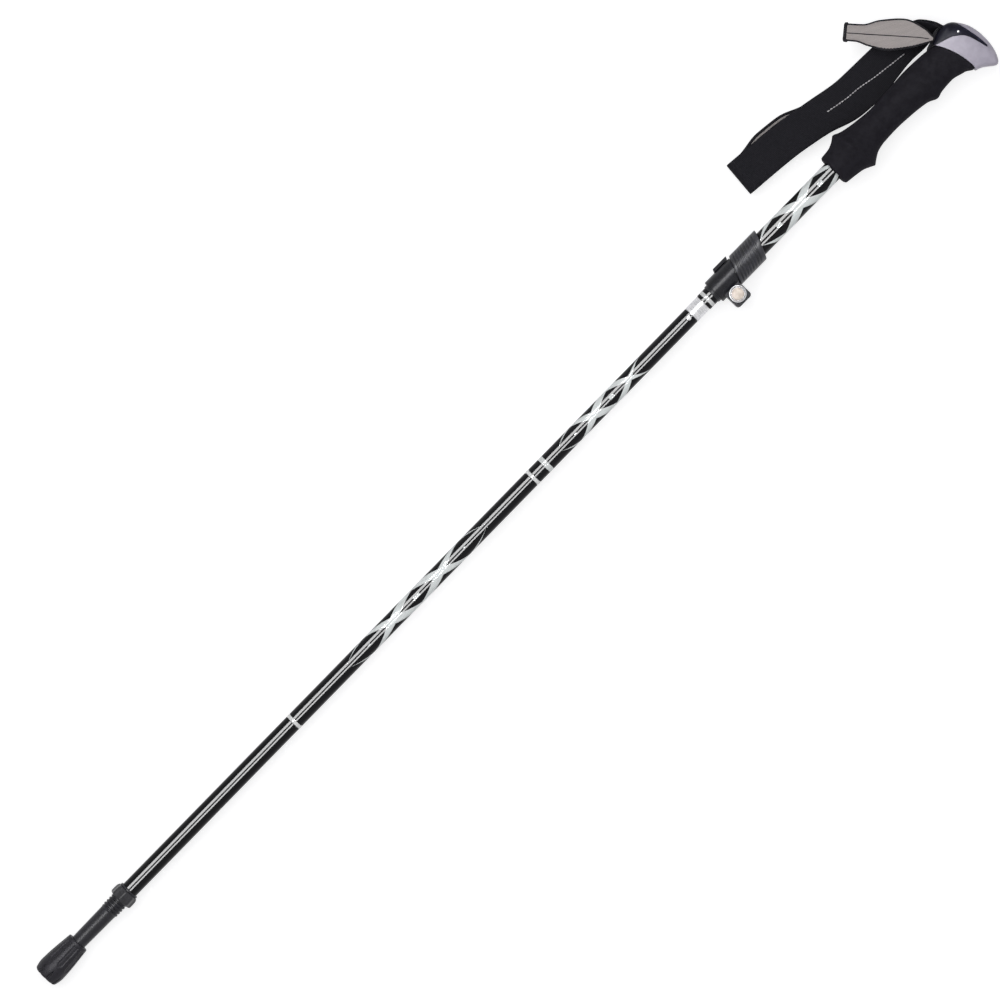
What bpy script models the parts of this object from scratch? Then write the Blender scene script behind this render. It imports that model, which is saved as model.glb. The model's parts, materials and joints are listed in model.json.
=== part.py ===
"""A folding hiking stick of five sections, set up and lying on the ground.

The pole runs along X with its rubber boot at low X. It rests on the boot, on the
flare of the foam grip and on the wrist strap. Each piece is drawn in the pole's
own frame, with X along the tubes' axis, and the whole pole is then tipped until
boot and flare touch the ground together. Lengths are in metres.
"""

import math

import bmesh
import bpy
from mathutils import Vector

# Gap between pieces that touch, and clearance of a running fit
GAP = 0.0003
RUNNING = 0.0001
PLAY = 0.00005

# Sides of a turned piece, large and small
SIDES = 28
SMALL_SIDES = 16
HOLDER_SIDES = 20

# Rubber boot
BOOT_LENGTH = 0.0407
BOOT_RADIUS = 0.0124
BOOT_WIDEST = 0.0090
BOOT_SOLE_RADIUS = 0.0108
BOOT_RIM_RADIUS = 0.0100
BOOT_FLOOR = 0.0072
FLUTES = 8
FLUTE_DEPTH = 0.0012
FLUTE_LENGTH = 0.0150

# Tip holder, its thread and its hard metal tip
NOSE_START = 0.0120
NOSE_RADIUS = 0.0044
NECK_LENGTH = 0.0358
NECK_LOW_RADIUS = 0.00675
NECK_HIGH_RADIUS = 0.00725
THREAD_SHOWN = 0.0149
THREAD_PITCH = 0.0030
THREAD_CREST = 0.0080
SHOULDER_THICKNESS = 0.0015
SHOULDER_RADIUS = 0.0090
HOLDER_PLUG_LENGTH = 0.0297
HOLDER_BORE_RADIUS = 0.0030
TIP_RADIUS = 0.0025
TIP_LENGTH = 0.0125

# Basket ring
BASKET_LENGTH = 0.0101
BASKET_RADIUS = 0.0110
BASKET_BORE_RADIUS = 0.0082
BASKET_LOBES = 8
BASKET_LOBE_DEPTH = 0.0008

# Folding sections: tube, collar between two tubes, spigot and its guide
LOWER_RADIUS = 0.0075
LOWER_WALL = 0.0007
SECTION_5_LENGTH = 0.1985
SECTION_4_LENGTH = 0.2866
SECTION_3_LENGTH = 0.1908
COLLAR_LENGTH = 0.0031
BUTTON_COLLAR_LENGTH = 0.0142
COLLAR_RADIUS = 0.0077
PLUG_LENGTH = 0.0300
SPIGOT_LENGTH = 0.0280
GUIDE_LENGTH = 0.0055
GUIDE_TIP_RADIUS = 0.0045
SPIGOT_BORE_RADIUS = 0.0050

# Snap button and the leaf spring that carries it
BUTTON_RADIUS = 0.00225
BUTTON_PROUD = 0.0015
BUTTON_BACK = 0.0037
BUTTON_TO_END = 0.0037
CLIP_WIDTH = 0.0050
CLIP_THICKNESS = 0.0004
CLIP_LENGTH = 0.0260

# Telescoping inner tube and upper tube
INNER_RADIUS = 0.0080
INNER_WALL = 0.0008
INNER_LENGTH = 0.2503
INNER_SHOWN = 0.0096
INNER_BUSH_LENGTH = 0.0060
INNER_ROOM = 0.0120
UPPER_RADIUS = 0.0090
UPPER_WALL = 0.0008
END_BUSH_LENGTH = 0.0064
END_BUSH_RADIUS = 0.0088
SLIT_LENGTH = 0.0240
SLIT_WIDTH = 0.0016

# Tension cord, its spring and their stops
CORD_RADIUS = 0.0009
STOP_RADIUS = 0.0062
STOP_DISC = 0.0030
CRIMP_RADIUS = 0.0022
CRIMP_LENGTH = 0.0080
BULKHEAD_RADIUS = 0.0069
BULKHEAD_LENGTH = 0.0080
BULKHEAD_DEPTH = 0.0435
SPRING_RADIUS = 0.0047
SPRING_WIRE = 0.0006
SPRING_LENGTH = 0.1310
SPRING_CURLS = 12

# Lever clamp at the foot of the upper tube
BAND_RADIUS = 0.0112
BAND_OVERHANG = 0.0039
SLEEVE_RADIUS = 0.01235
SLEEVE_START = 0.0213
SLEEVE_LENGTH = 0.0317
SLEEVE_SLANT = 0.41
SLEEVE_RIBS = 7
RIB_HEIGHT = 0.0004
BOLT_STATION = 0.0090
BOLT_OFFSET = 0.0155
BOLT_RADIUS = 0.0020
LUG_LENGTH = 0.0160
LUG_TOP = 0.0076
LUG_BOTTOM = 0.0070
LUG_SLOT = 0.0020
NUT_RADIUS = 0.00735
NUT_HEIGHT = 0.0042
NUT_DISC_RADIUS = 0.00565
NUT_DISC_HEIGHT = 0.0012
BARREL_RADIUS = 0.0025
BARREL_DROP = 0.0120
LEVER_WIDTH = 0.0155
LEVER_SLOT = 0.0062
LEVER_HUB_RADIUS = 0.0046
LEVER_THICKNESS = 0.0026
LEVER_SLANT = 0.30
LEVER_STRAIGHT = -0.0090

# Foam grip
GRIP_LENGTH = 0.1420
FLARE_STATION = 0.0259
FLARE_RADIUS = 0.0219
GRIP_SIDES = 28

# Grip head and the strap wedge that it holds
HEAD_BOSS_LENGTH = 0.0300
WINDOW_LOW = (
    (-0.0105, 0.0220),
    (-0.0051, 0.0122),
    (0.0038, 0.0091),
    (0.0091, 0.0070),
    (0.0130, 0.0044),
    (0.0169, 0.0010),
    (0.0196, -0.0037),
    (0.0214, -0.0092),
    (0.0229, -0.0149),
    (0.0243, -0.0205),
)
WINDOW_HIGH = (
    (0.0259, -0.0193),
    (0.0255, -0.0134),
    (0.0246, -0.0060),
    (0.0233, 0.0009),
    (0.0220, 0.0078),
    (0.0206, 0.0140),
    (0.0190, 0.0220),
)
STRAP_PIN_RADIUS = 0.0011
STRAP_PIN_HALF = 0.0133
STRAP_PIN_AT = (0.0161, 0.0064)
POCKET_REACH = 0.0300

# Wrist strap: a loop of webbing and its loose tail
STRAP_THICKNESS = 0.0016
STRAP_WIDTH = 0.0320
STRAP_ROOT_WIDTH = 0.0170
STRAP_FOLD_RADIUS = 0.0060
STRAP_LOOP_LENGTH = 0.2115
STRAP_STEPS = 34
TAIL_LENGTH = 0.0756
TAIL_THICKNESS = 0.0015

# Stations along the pole, each from the one before
BOOT_TOP = BOOT_LENGTH
THREAD_START = BOOT_TOP + NECK_LENGTH
BASKET_START = THREAD_START + THREAD_SHOWN
SHOULDER = BASKET_START + BASKET_LENGTH + GAP
HOLDER_TOP = SHOULDER + SHOULDER_THICKNESS
TUBE_5 = HOLDER_TOP + GAP
COLLAR_5 = TUBE_5 + SECTION_5_LENGTH + GAP
TUBE_4 = COLLAR_5 + COLLAR_LENGTH + GAP
COLLAR_4 = TUBE_4 + SECTION_4_LENGTH + GAP
TUBE_3 = COLLAR_4 + COLLAR_LENGTH + GAP
COLLAR_3 = TUBE_3 + SECTION_3_LENGTH + GAP
INNER_TUBE = COLLAR_3 + BUTTON_COLLAR_LENGTH + GAP
INNER_TOP = INNER_TUBE + INNER_LENGTH
END_BUSH = INNER_TUBE + INNER_SHOWN
UPPER_TUBE = END_BUSH + END_BUSH_LENGTH + GAP
HEAD_AT = INNER_TOP + INNER_BUSH_LENGTH + INNER_ROOM + HEAD_BOSS_LENGTH
UPPER_LENGTH = HEAD_AT - UPPER_TUBE
GRIP_AT = HEAD_AT - GRIP_LENGTH
BULKHEAD = INNER_TUBE + BULKHEAD_DEPTH
SPRING_START = BULKHEAD + BULKHEAD_LENGTH + GAP
CORD_STOP = SPRING_START + SPRING_LENGTH + GAP
BOLT_AT = UPPER_TUBE + BOLT_STATION

# Ground under the tilted pole, as seen in the pole's own frame
FLARE_AT = GRIP_AT + FLARE_STATION
SLOPE = (FLARE_RADIUS - BOOT_RADIUS) / (FLARE_AT - BOOT_WIDEST)
TILT = math.atan(SLOPE)
DOWN = Vector((-math.sin(TILT), 0, -math.cos(TILT)))


def ground(x):
    """Height of the ground at station x, measured from the tubes' axis."""
    return -BOOT_RADIUS - SLOPE * (x - BOOT_WIDEST)


# Start from an empty scene

for old in list(bpy.data.objects):
    bpy.data.objects.remove(old, do_unlink=True)


# Materials

def finish(name, colour, roughness, metallic=0.0):
    """A Principled material of one colour."""
    made = bpy.data.materials.new(name)
    made.use_nodes = True
    made.diffuse_color = (*colour, 1.0)
    shader = made.node_tree.nodes["Principled BSDF"]
    shader.inputs["Base Color"].default_value = (*colour, 1.0)
    shader.inputs["Roughness"].default_value = roughness
    shader.inputs["Metallic"].default_value = metallic
    return made


BLACK_RUBBER = finish("black_rubber", (0.012, 0.012, 0.013), 0.75)
BLACK_PLASTIC = finish("black_plastic", (0.018, 0.018, 0.020), 0.45)
BLACK_PAINT = finish("black_paint", (0.010, 0.010, 0.011), 0.12, 0.2)
BLACK_FOAM = finish("black_foam", (0.014, 0.014, 0.016), 0.90)
LILAC_PLASTIC = finish("lilac_plastic", (0.52, 0.49, 0.56), 0.35)
DARK_PLASTIC = finish("dark_plastic", (0.012, 0.012, 0.024), 0.25)
WEBBING = finish("webbing", (0.015, 0.015, 0.017), 0.95)
GREY_WEBBING = finish("grey_webbing", (0.36, 0.35, 0.34), 0.95)
ALUMINIUM = finish("aluminium", (0.80, 0.80, 0.82), 0.25, 1.0)
COPPER_DISC = finish("copper_disc", (0.72, 0.50, 0.36), 0.35, 1.0)
STEEL = finish("steel", (0.62, 0.62, 0.63), 0.30, 1.0)
WHITE_RING = finish("white_ring", (0.85, 0.85, 0.85), 0.30)


# Bodies: an empty on the axis of each joint, with the pieces that it carries

body_at = {}


def body(name, parent, at):
    """An empty that carries the pieces of one moving body."""
    empty = bpy.data.objects.new(name, None)
    bpy.context.collection.objects.link(empty)
    empty.empty_display_size = 0.01
    body_at[name] = Vector(at)
    if parent:
        empty.parent = parent
        empty.location = body_at[name] - body_at[parent.name]
    return empty


POLE = body("pole_axis", None, (0, 0, 0))
HANDLE = body("handle_body", POLE, (UPPER_TUBE, 0, 0))
LEVER = body("lever_axis", HANDLE, (BOLT_AT, -BOLT_OFFSET, -BARREL_DROP))
NUT = body("nut_axis", HANDLE, (BOLT_AT, -BOLT_OFFSET, LUG_TOP))
INNER = body("inner_body", HANDLE, (INNER_TUBE, 0, 0))
SECTION_3 = body("section_3_body", INNER, (COLLAR_3, 0, 0))
BUTTON = body("button_axis", SECTION_3, (COLLAR_3 - BUTTON_TO_END, 0, LOWER_RADIUS))
SECTION_4 = body("section_4_body", SECTION_3, (COLLAR_4, 0, 0))
SECTION_5 = body("section_5_body", SECTION_4, (COLLAR_5, 0, 0))
BASKET = body("basket_axis", SECTION_5, (BASKET_START, 0, 0))
BOOT = body("boot_axis", SECTION_5, (BOOT_TOP, 0, 0))


# Ways to make a solid

def piece(name, shape, carrier, look, smooth=35.0):
    """Turns a bmesh drawn in the pole's frame into an object carried by a body."""
    bmesh.ops.recalc_face_normals(shape, faces=shape.faces)
    bmesh.ops.translate(shape, verts=shape.verts, vec=-body_at[carrier.name])
    mesh = bpy.data.meshes.new(name)
    shape.to_mesh(mesh)
    shape.free()
    mesh.materials.append(look)
    mesh.shade_smooth()
    mesh.set_sharp_from_angle(angle=math.radians(smooth))
    made = bpy.data.objects.new(name, mesh)
    bpy.context.collection.objects.link(made)
    made.parent = carrier
    return made


def turned(name, outline, carrier, look, sides=SIDES):
    """A piece turned about the pole's axis from (x, radius) points.

    An outline that starts and ends on the axis is left open there, and any
    other is closed, which leaves its bore open.
    """
    shape = bmesh.new()
    verts = [shape.verts.new((x, 0, radius)) for x, radius in outline]
    edges = [shape.edges.new(pair) for pair in zip(verts, verts[1:])]
    if outline[0][1] or outline[-1][1]:
        edges.append(shape.edges.new((verts[-1], verts[0])))
    bmesh.ops.spin(
        shape, geom=verts + edges, cent=(0, 0, 0), axis=(1, 0, 0),
        angle=2 * math.pi, steps=sides, use_merge=True,
    )
    bmesh.ops.remove_doubles(shape, verts=shape.verts, dist=1e-7)
    return piece(name, shape, carrier, look)


def lofted(name, loops, carrier, look, closed=False, smooth=35.0):
    """A skin through rings of points, capped at both ends or closed on itself."""
    shape = bmesh.new()
    rings = [[shape.verts.new(point) for point in loop] for loop in loops]
    pairs = list(zip(rings, rings[1:]))
    if closed:
        pairs.append((rings[-1], rings[0]))
    else:
        shape.faces.new(rings[0])
        shape.faces.new(rings[-1])
    for low, high in pairs:
        for i in range(len(low)):
            j = (i + 1) % len(low)
            shape.faces.new((low[i], low[j], high[j], high[i]))
    return piece(name, shape, carrier, look, smooth)


def prism(name, outline, along, start, end, carrier, look):
    """An outline pushed along X, where its points are (y, z), or Z, as (x, y)."""
    shape = bmesh.new()
    for depth in (start, end):
        if along == "X":
            points = [(depth, a, b) for a, b in outline]
        else:
            points = [(a, b, depth) for a, b in outline]
        shape.faces.new([shape.verts.new(point) for point in points])
    shape.verts.ensure_lookup_table()
    count = len(outline)
    for i in range(count):
        j = (i + 1) % count
        corners = (i, j, count + j, count + i)
        shape.faces.new([shape.verts[k] for k in corners])
    return piece(name, shape, carrier, look)


def rod(name, centre, radius, along, start, end, carrier, look, sides=SMALL_SIDES):
    """A round bar along X or Z. Its centre is (y, z) or (x, y)."""
    outline = []
    for i in range(sides):
        turn = 2 * math.pi * i / sides
        outline.append(
            (centre[0] + radius * math.cos(turn), centre[1] + radius * math.sin(turn))
        )
    return prism(name, outline, along, start, end, carrier, look)


def wire(name, points, radius, resolution, carrier, look):
    """A round wire or cord through points of the pole's frame."""
    curve = bpy.data.curves.new(name, "CURVE")
    curve.dimensions = "3D"
    curve.bevel_depth = radius
    curve.bevel_resolution = resolution
    curve.use_fill_caps = True
    spline = curve.splines.new("POLY")
    spline.points.add(len(points) - 1)
    for spot, point in zip(spline.points, points):
        spot.co = (*(Vector(point) - body_at[carrier.name]), 1)
    curve.materials.append(look)
    made = bpy.data.objects.new(name, curve)
    bpy.context.collection.objects.link(made)
    made.parent = carrier
    return made


def combine(target, operation, other):
    """Cuts from, joins to or trims a solid with another, which is then hidden."""
    step = target.modifiers.new(other.name, "BOOLEAN")
    step.operation = operation
    step.object = other
    other.hide_render = True
    other.display_type = "WIRE"


def through(keys, t):
    """Smooth value at t of a curve through (t, value) keys, with no overshoot."""
    last = len(keys) - 1
    k = 0
    while k < last - 1 and t > keys[k + 1][0]:
        k += 1
    rates = []
    for low, high in zip(keys, keys[1:]):
        rates.append((high[1] - low[1]) / (high[0] - low[0]))
    slopes = [rates[0]]
    for before, after in zip(rates, rates[1:]):
        same_way = before * after > 0
        slopes.append(2 * before * after / (before + after) if same_way else 0.0)
    slopes.append(rates[-1])
    span = keys[k + 1][0] - keys[k][0]
    s = min(max((t - keys[k][0]) / span, 0.0), 1.0)
    rise = keys[k + 1][1] - keys[k][1]
    value = keys[k][1] + rise * s * s * (3 - 2 * s)
    value += span * slopes[k] * s * (1 - s) ** 2
    return value - span * slopes[k + 1] * s * s * (1 - s)


def ring(x, radius, sides):
    """A circle of points about the pole's axis, the first of them at +Y."""
    turns = [2 * math.pi * i / sides for i in range(sides)]
    return [(x, radius * math.cos(a), radius * math.sin(a)) for a in turns]


# Rubber boot: a fluted cup that is pushed over the tip holder

BOOT_SIDES = 5 * FLUTES


def boot_wall(x):
    """Outer radius of the boot at station x."""
    keys = (
        (0.0, BOOT_SOLE_RADIUS),
        (BOOT_WIDEST, BOOT_RADIUS),
        (BOOT_LENGTH - 0.0015, BOOT_RIM_RADIUS),
        (BOOT_LENGTH, BOOT_RIM_RADIUS - 0.0004),
    )
    return through(keys, x)


def boot_ring(x):
    """One ring of the boot's wall, with a flute in two of each five sides."""
    points = []
    depth = FLUTE_DEPTH if x < FLUTE_LENGTH else 0.0
    for i in range(BOOT_SIDES):
        turn = 2 * math.pi * i / BOOT_SIDES - math.pi / 2
        cut = depth if i % 5 in (2, 3) else 0.0
        radius = boot_wall(x) - cut
        points.append((x, radius * math.cos(turn), radius * math.sin(turn)))
    return points


def neck_radius(x):
    """Outer radius of the tip holder from its nose to its thread."""
    keys = (
        (NOSE_START, NOSE_RADIUS),
        (BOOT_TOP, NECK_LOW_RADIUS),
        (THREAD_START, NECK_HIGH_RADIUS),
    )
    return through(keys, x)


BORE_RIM = BOOT_LENGTH - 0.0020
BORE_STATIONS = [NOSE_START + (BORE_RIM - NOSE_START) * i / 2 for i in range(3)]
boot_rings = [boot_ring(x) for x in (0.0, 0.0020, BOOT_WIDEST, FLUTE_LENGTH - 0.0006)]
boot_rings += [boot_ring(x) for x in (FLUTE_LENGTH + 0.0006, 0.0240, 0.0330)]
boot_rings += [boot_ring(x) for x in (BOOT_LENGTH - 0.0015, BOOT_LENGTH)]
boot_bores = [(BOOT_LENGTH, neck_radius(BOOT_LENGTH) + GAP)]
boot_bores += [(x, neck_radius(x) + GAP) for x in reversed(BORE_STATIONS)]
boot_bores += [(NOSE_START - GAP, NOSE_RADIUS + GAP)]
boot_bores += [(NOSE_START - GAP, TIP_RADIUS + GAP), (BOOT_FLOOR, TIP_RADIUS + GAP)]
for x, radius in boot_bores:
    points = ring(x, radius, BOOT_SIDES)
    quarter = BOOT_SIDES // 4
    boot_rings.append(points[-quarter:] + points[:-quarter])
lofted("rubber_boot", boot_rings, BOOT, BLACK_RUBBER)


# Hard metal tip, pressed into the nose of the tip holder

TIP_START = BOOT_FLOOR + GAP
TIP_END = TIP_START + TIP_LENGTH
turned(
    "carbide_tip",
    [
        (TIP_START + 0.0010, 0.0),
        (TIP_START, TIP_RADIUS - 0.0006),
        (TIP_START + 0.0005, TIP_RADIUS),
        (TIP_END, TIP_RADIUS),
        (TIP_END, 0.0),
    ],
    SECTION_5, STEEL, SMALL_SIDES,
)


# Tip holder: nose, neck, basket thread, shoulder and the plug in the lowest tube

def thread_radius(x, turn):
    """Radius of the basket thread, a ridge that winds round the neck."""
    phase = (x - THREAD_START) / THREAD_PITCH - turn
    phase -= math.floor(phase)
    ridge = min(max(2.0 * (1 - abs(2 * phase - 1)) - 0.5, 0.0), 1.0)
    room = min(x - THREAD_START, SHOULDER - x) / THREAD_PITCH
    ridge *= min(max(room, 0.0), 1.0)
    return NECK_HIGH_RADIUS + (THREAD_CREST - NECK_HIGH_RADIUS) * ridge


LOWER_BORE = LOWER_RADIUS - LOWER_WALL
PLUG_RADIUS = LOWER_BORE - GAP
holder_rings = [ring(TIP_END + GAP, TIP_RADIUS + GAP, HOLDER_SIDES)]
holder_rings += [ring(NOSE_START, TIP_RADIUS + GAP, HOLDER_SIDES)]
for i in range(6):
    x = NOSE_START + (THREAD_START - NOSE_START) * i / 6
    holder_rings.append(ring(x, neck_radius(x), HOLDER_SIDES))
thread_steps = round((SHOULDER - THREAD_START) / (THREAD_PITCH / 3))
for i in range(thread_steps + 1):
    x = THREAD_START + (SHOULDER - THREAD_START) * i / thread_steps
    points = []
    for j in range(HOLDER_SIDES):
        turn = j / HOLDER_SIDES
        radius = thread_radius(x, turn)
        a = 2 * math.pi * turn
        points.append((x, radius * math.cos(a), radius * math.sin(a)))
    holder_rings.append(points)
HOLDER_END = HOLDER_TOP + HOLDER_PLUG_LENGTH
holder_rings += [ring(SHOULDER, SHOULDER_RADIUS, HOLDER_SIDES)]
holder_rings += [ring(HOLDER_TOP, SHOULDER_RADIUS, HOLDER_SIDES)]
holder_rings += [ring(HOLDER_TOP, PLUG_RADIUS, HOLDER_SIDES)]
holder_rings += [ring(HOLDER_END, PLUG_RADIUS, HOLDER_SIDES)]
holder_rings += [ring(HOLDER_END, HOLDER_BORE_RADIUS, HOLDER_SIDES)]
holder_rings += [
    ring(HOLDER_END - CRIMP_LENGTH - 0.0030, HOLDER_BORE_RADIUS, HOLDER_SIDES)
]
lofted("tip_holder", holder_rings, SECTION_5, BLACK_PLASTIC, smooth=50.0)


# Basket ring: lobed outside, screwed up against the shoulder

BASKET_SIDES = 4 * BASKET_LOBES


def basket_ring(x, radius, lobe):
    """A ring with a shallow scallop between each two lobes."""
    points = []
    for i in range(BASKET_SIDES):
        turn = 2 * math.pi * i / BASKET_SIDES
        r = radius - lobe * (0.5 - 0.5 * math.cos(BASKET_LOBES * turn))
        points.append((x, r * math.cos(turn), r * math.sin(turn)))
    return points


BASKET_END = BASKET_START + BASKET_LENGTH
lofted(
    "basket_ring",
    [
        basket_ring(BASKET_START, BASKET_BORE_RADIUS, 0.0),
        basket_ring(BASKET_START, BASKET_RADIUS - 0.0012, BASKET_LOBE_DEPTH),
        basket_ring(BASKET_START + 0.0012, BASKET_RADIUS, BASKET_LOBE_DEPTH),
        basket_ring(BASKET_END - 0.0012, BASKET_RADIUS, BASKET_LOBE_DEPTH),
        basket_ring(BASKET_END, BASKET_RADIUS - 0.0012, BASKET_LOBE_DEPTH),
        basket_ring(BASKET_END, BASKET_BORE_RADIUS, 0.0),
    ],
    BASKET, BLACK_PLASTIC, closed=True,
)


# The three folding sections: a tube, the ferrule plugged into its upper end and
# the guide that leads the ferrule's spigot into the tube above

def tube(name, start, length, radius, wall, carrier):
    """A plain tube, open at both ends."""
    end = start + length
    outline = [(start, radius - wall), (end, radius - wall), (end, radius), (start, radius)]
    return turned(name, outline, carrier, BLACK_PAINT)


def ferrule(name, collar, collar_length, spigot_radius, carrier, look):
    """Plug, visible collar and spigot in one, bored for the cord."""
    top = collar + collar_length
    return turned(
        name,
        [
            (collar - PLUG_LENGTH, SPIGOT_BORE_RADIUS),
            (top + SPIGOT_LENGTH, SPIGOT_BORE_RADIUS),
            (top + SPIGOT_LENGTH, spigot_radius),
            (top, spigot_radius),
            (top, COLLAR_RADIUS),
            (collar, COLLAR_RADIUS),
            (collar, PLUG_RADIUS),
            (collar - PLUG_LENGTH, PLUG_RADIUS),
        ],
        carrier, look,
    )


def guide(name, start, spigot_radius, carrier):
    """A tapered plastic nose, held by its own plug in the spigot's bore."""
    hole = CORD_RADIUS + 0.0006
    return turned(
        name,
        [
            (start - 0.0060, hole),
            (start + GUIDE_LENGTH, hole),
            (start + GUIDE_LENGTH, GUIDE_TIP_RADIUS),
            (start + 0.0010, spigot_radius),
            (start + GAP, spigot_radius),
            (start + GAP, SPIGOT_BORE_RADIUS - GAP),
            (start - 0.0060, SPIGOT_BORE_RADIUS - GAP),
        ],
        carrier, BLACK_PLASTIC, SMALL_SIDES,
    )


tube("section_5_tube", TUBE_5, SECTION_5_LENGTH, LOWER_RADIUS, LOWER_WALL, SECTION_5)
ferrule("section_5_ferrule", COLLAR_5, COLLAR_LENGTH, PLUG_RADIUS, SECTION_5, WHITE_RING)
guide("section_5_guide", COLLAR_5 + COLLAR_LENGTH + SPIGOT_LENGTH, PLUG_RADIUS, SECTION_5)

tube("section_4_tube", TUBE_4, SECTION_4_LENGTH, LOWER_RADIUS, LOWER_WALL, SECTION_4)
ferrule("section_4_ferrule", COLLAR_4, COLLAR_LENGTH, PLUG_RADIUS, SECTION_4, WHITE_RING)
guide("section_4_guide", COLLAR_4 + COLLAR_LENGTH + SPIGOT_LENGTH, PLUG_RADIUS, SECTION_4)

INNER_BORE = INNER_RADIUS - INNER_WALL
INNER_PLUG_RADIUS = INNER_BORE - GAP
section_3_tube = tube(
    "section_3_tube", TUBE_3, SECTION_3_LENGTH, LOWER_RADIUS, LOWER_WALL, SECTION_3
)
section_3_ferrule = ferrule(
    "section_3_ferrule", COLLAR_3, BUTTON_COLLAR_LENGTH, INNER_PLUG_RADIUS, SECTION_3,
    ALUMINIUM,
)
guide(
    "section_3_guide", COLLAR_3 + BUTTON_COLLAR_LENGTH + SPIGOT_LENGTH,
    INNER_PLUG_RADIUS, SECTION_3,
)


# Snap button, through a hole in the tube and in the ferrule's plug

BUTTON_AT = COLLAR_3 - BUTTON_TO_END
HOLE_RADIUS = BUTTON_RADIUS + PLAY
for target in (section_3_tube, section_3_ferrule):
    hole = rod(
        "button_hole_" + target.name, (BUTTON_AT, 0), HOLE_RADIUS + RUNNING, "Z", 0.002,
        LOWER_RADIUS + 0.004, SECTION_3, STEEL,
    )
    combine(target, "DIFFERENCE", hole)

button_top = LOWER_RADIUS + BUTTON_PROUD
button_rings = []
for z, radius in (
    (BUTTON_BACK, BUTTON_RADIUS),
    (button_top - 0.0008, BUTTON_RADIUS),
    (button_top - 0.0003, BUTTON_RADIUS - 0.0004),
    (button_top, BUTTON_RADIUS - 0.0011),
):
    turns = [2 * math.pi * i / SMALL_SIDES for i in range(SMALL_SIDES)]
    button_rings.append(
        [(BUTTON_AT + radius * math.cos(a), radius * math.sin(a), z) for a in turns]
    )
lofted("snap_button", button_rings, BUTTON, STEEL)

# The leaf spring is bent back on itself, and the cord passes through a hole in
# the bend

clip_low = -SPIGOT_BORE_RADIUS + 0.0009
clip_high = BUTTON_BACK - GAP
clip_end = BUTTON_AT + BUTTON_RADIUS
clip_start = clip_end - CLIP_LENGTH
bend_radius = (clip_high - clip_low) / 2
bend_middle = (clip_high + clip_low) / 2


def clip_side(radius):
    """Half turn of the leaf's bend at one of its two faces, top to bottom."""
    points = []
    for i in range(9):
        turn = math.pi / 2 + math.pi * i / 8
        x = clip_start + bend_radius + radius * math.cos(turn)
        points.append((x, bend_middle + radius * math.sin(turn)))
    return points


clip_outer = [(clip_end, clip_high)] + clip_side(bend_radius) + [(clip_end, clip_low)]
clip_thin = bend_radius - CLIP_THICKNESS
clip_inner = [(clip_end, clip_high - CLIP_THICKNESS)] + clip_side(clip_thin)
clip_inner += [(clip_end, clip_low + CLIP_THICKNESS)]
clip_rings = []
for y in (-CLIP_WIDTH / 2, CLIP_WIDTH / 2):
    clip_rings.append([(x, y, z) for x, z in clip_outer + clip_inner[::-1]])
snap_clip = lofted("snap_clip", clip_rings, SECTION_3, STEEL)
clip_hole = rod(
    "clip_cord_hole", (0, 0), CORD_RADIUS + 0.0006, "X", clip_start - 0.002,
    clip_start + bend_radius, SECTION_3, STEEL,
)
combine(snap_clip, "DIFFERENCE", clip_hole)


# Inner tube, its top bush and the bulkhead that the tension spring stands on

tube("inner_tube", INNER_TUBE, INNER_LENGTH, INNER_RADIUS, INNER_WALL, INNER)
UPPER_BORE = UPPER_RADIUS - UPPER_WALL
turned(
    "inner_tube_bush",
    [
        (INNER_TOP - 0.0120, 0.0040),
        (INNER_TOP + INNER_BUSH_LENGTH, 0.0040),
        (INNER_TOP + INNER_BUSH_LENGTH, UPPER_BORE - RUNNING - 0.0008),
        (INNER_TOP + INNER_BUSH_LENGTH - 0.0008, UPPER_BORE - RUNNING),
        (INNER_TOP + GAP, UPPER_BORE - RUNNING),
        (INNER_TOP + GAP, INNER_PLUG_RADIUS),
        (INNER_TOP - 0.0120, INNER_PLUG_RADIUS),
    ],
    INNER, BLACK_PLASTIC,
)
turned(
    "cord_bulkhead",
    [
        (BULKHEAD, CORD_RADIUS + 0.0006),
        (BULKHEAD + BULKHEAD_LENGTH, CORD_RADIUS + 0.0006),
        (BULKHEAD + BULKHEAD_LENGTH, BULKHEAD_RADIUS),
        (BULKHEAD, BULKHEAD_RADIUS),
    ],
    INNER, ALUMINIUM, SMALL_SIDES,
)


# Tension spring: one wire, wound between the bulkhead and the cord's stop

POINTS_PER_CURL = 8
SPRING_END = SPRING_START + SPRING_LENGTH
spring_points = [(SPRING_START, SPRING_RADIUS, 0.0)]
wound_start = SPRING_START + 2.4 * SPRING_WIRE
wound_length = SPRING_LENGTH - 4.8 * SPRING_WIRE
for i in range(SPRING_CURLS * POINTS_PER_CURL + 1):
    a = 2 * math.pi * i / POINTS_PER_CURL
    x = wound_start + wound_length * i / (SPRING_CURLS * POINTS_PER_CURL)
    spring_points.append((x, SPRING_RADIUS * math.cos(a), SPRING_RADIUS * math.sin(a)))
spring_points.append((SPRING_END, SPRING_RADIUS, 0.0))
wire("tension_spring", spring_points, SPRING_WIRE, 1, INNER, STEEL)
least = SPRING_LENGTH
for i, first in enumerate(spring_points):
    for second in spring_points[i + POINTS_PER_CURL // 2:]:
        apart = (Vector(first) - Vector(second)).length
        least = min(least, apart - 2 * SPRING_WIRE)
print(f"least gap between curls of the tension spring: {1000 * least:.2f} mm")


# Tension cord, with a crimped stop at each end

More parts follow.
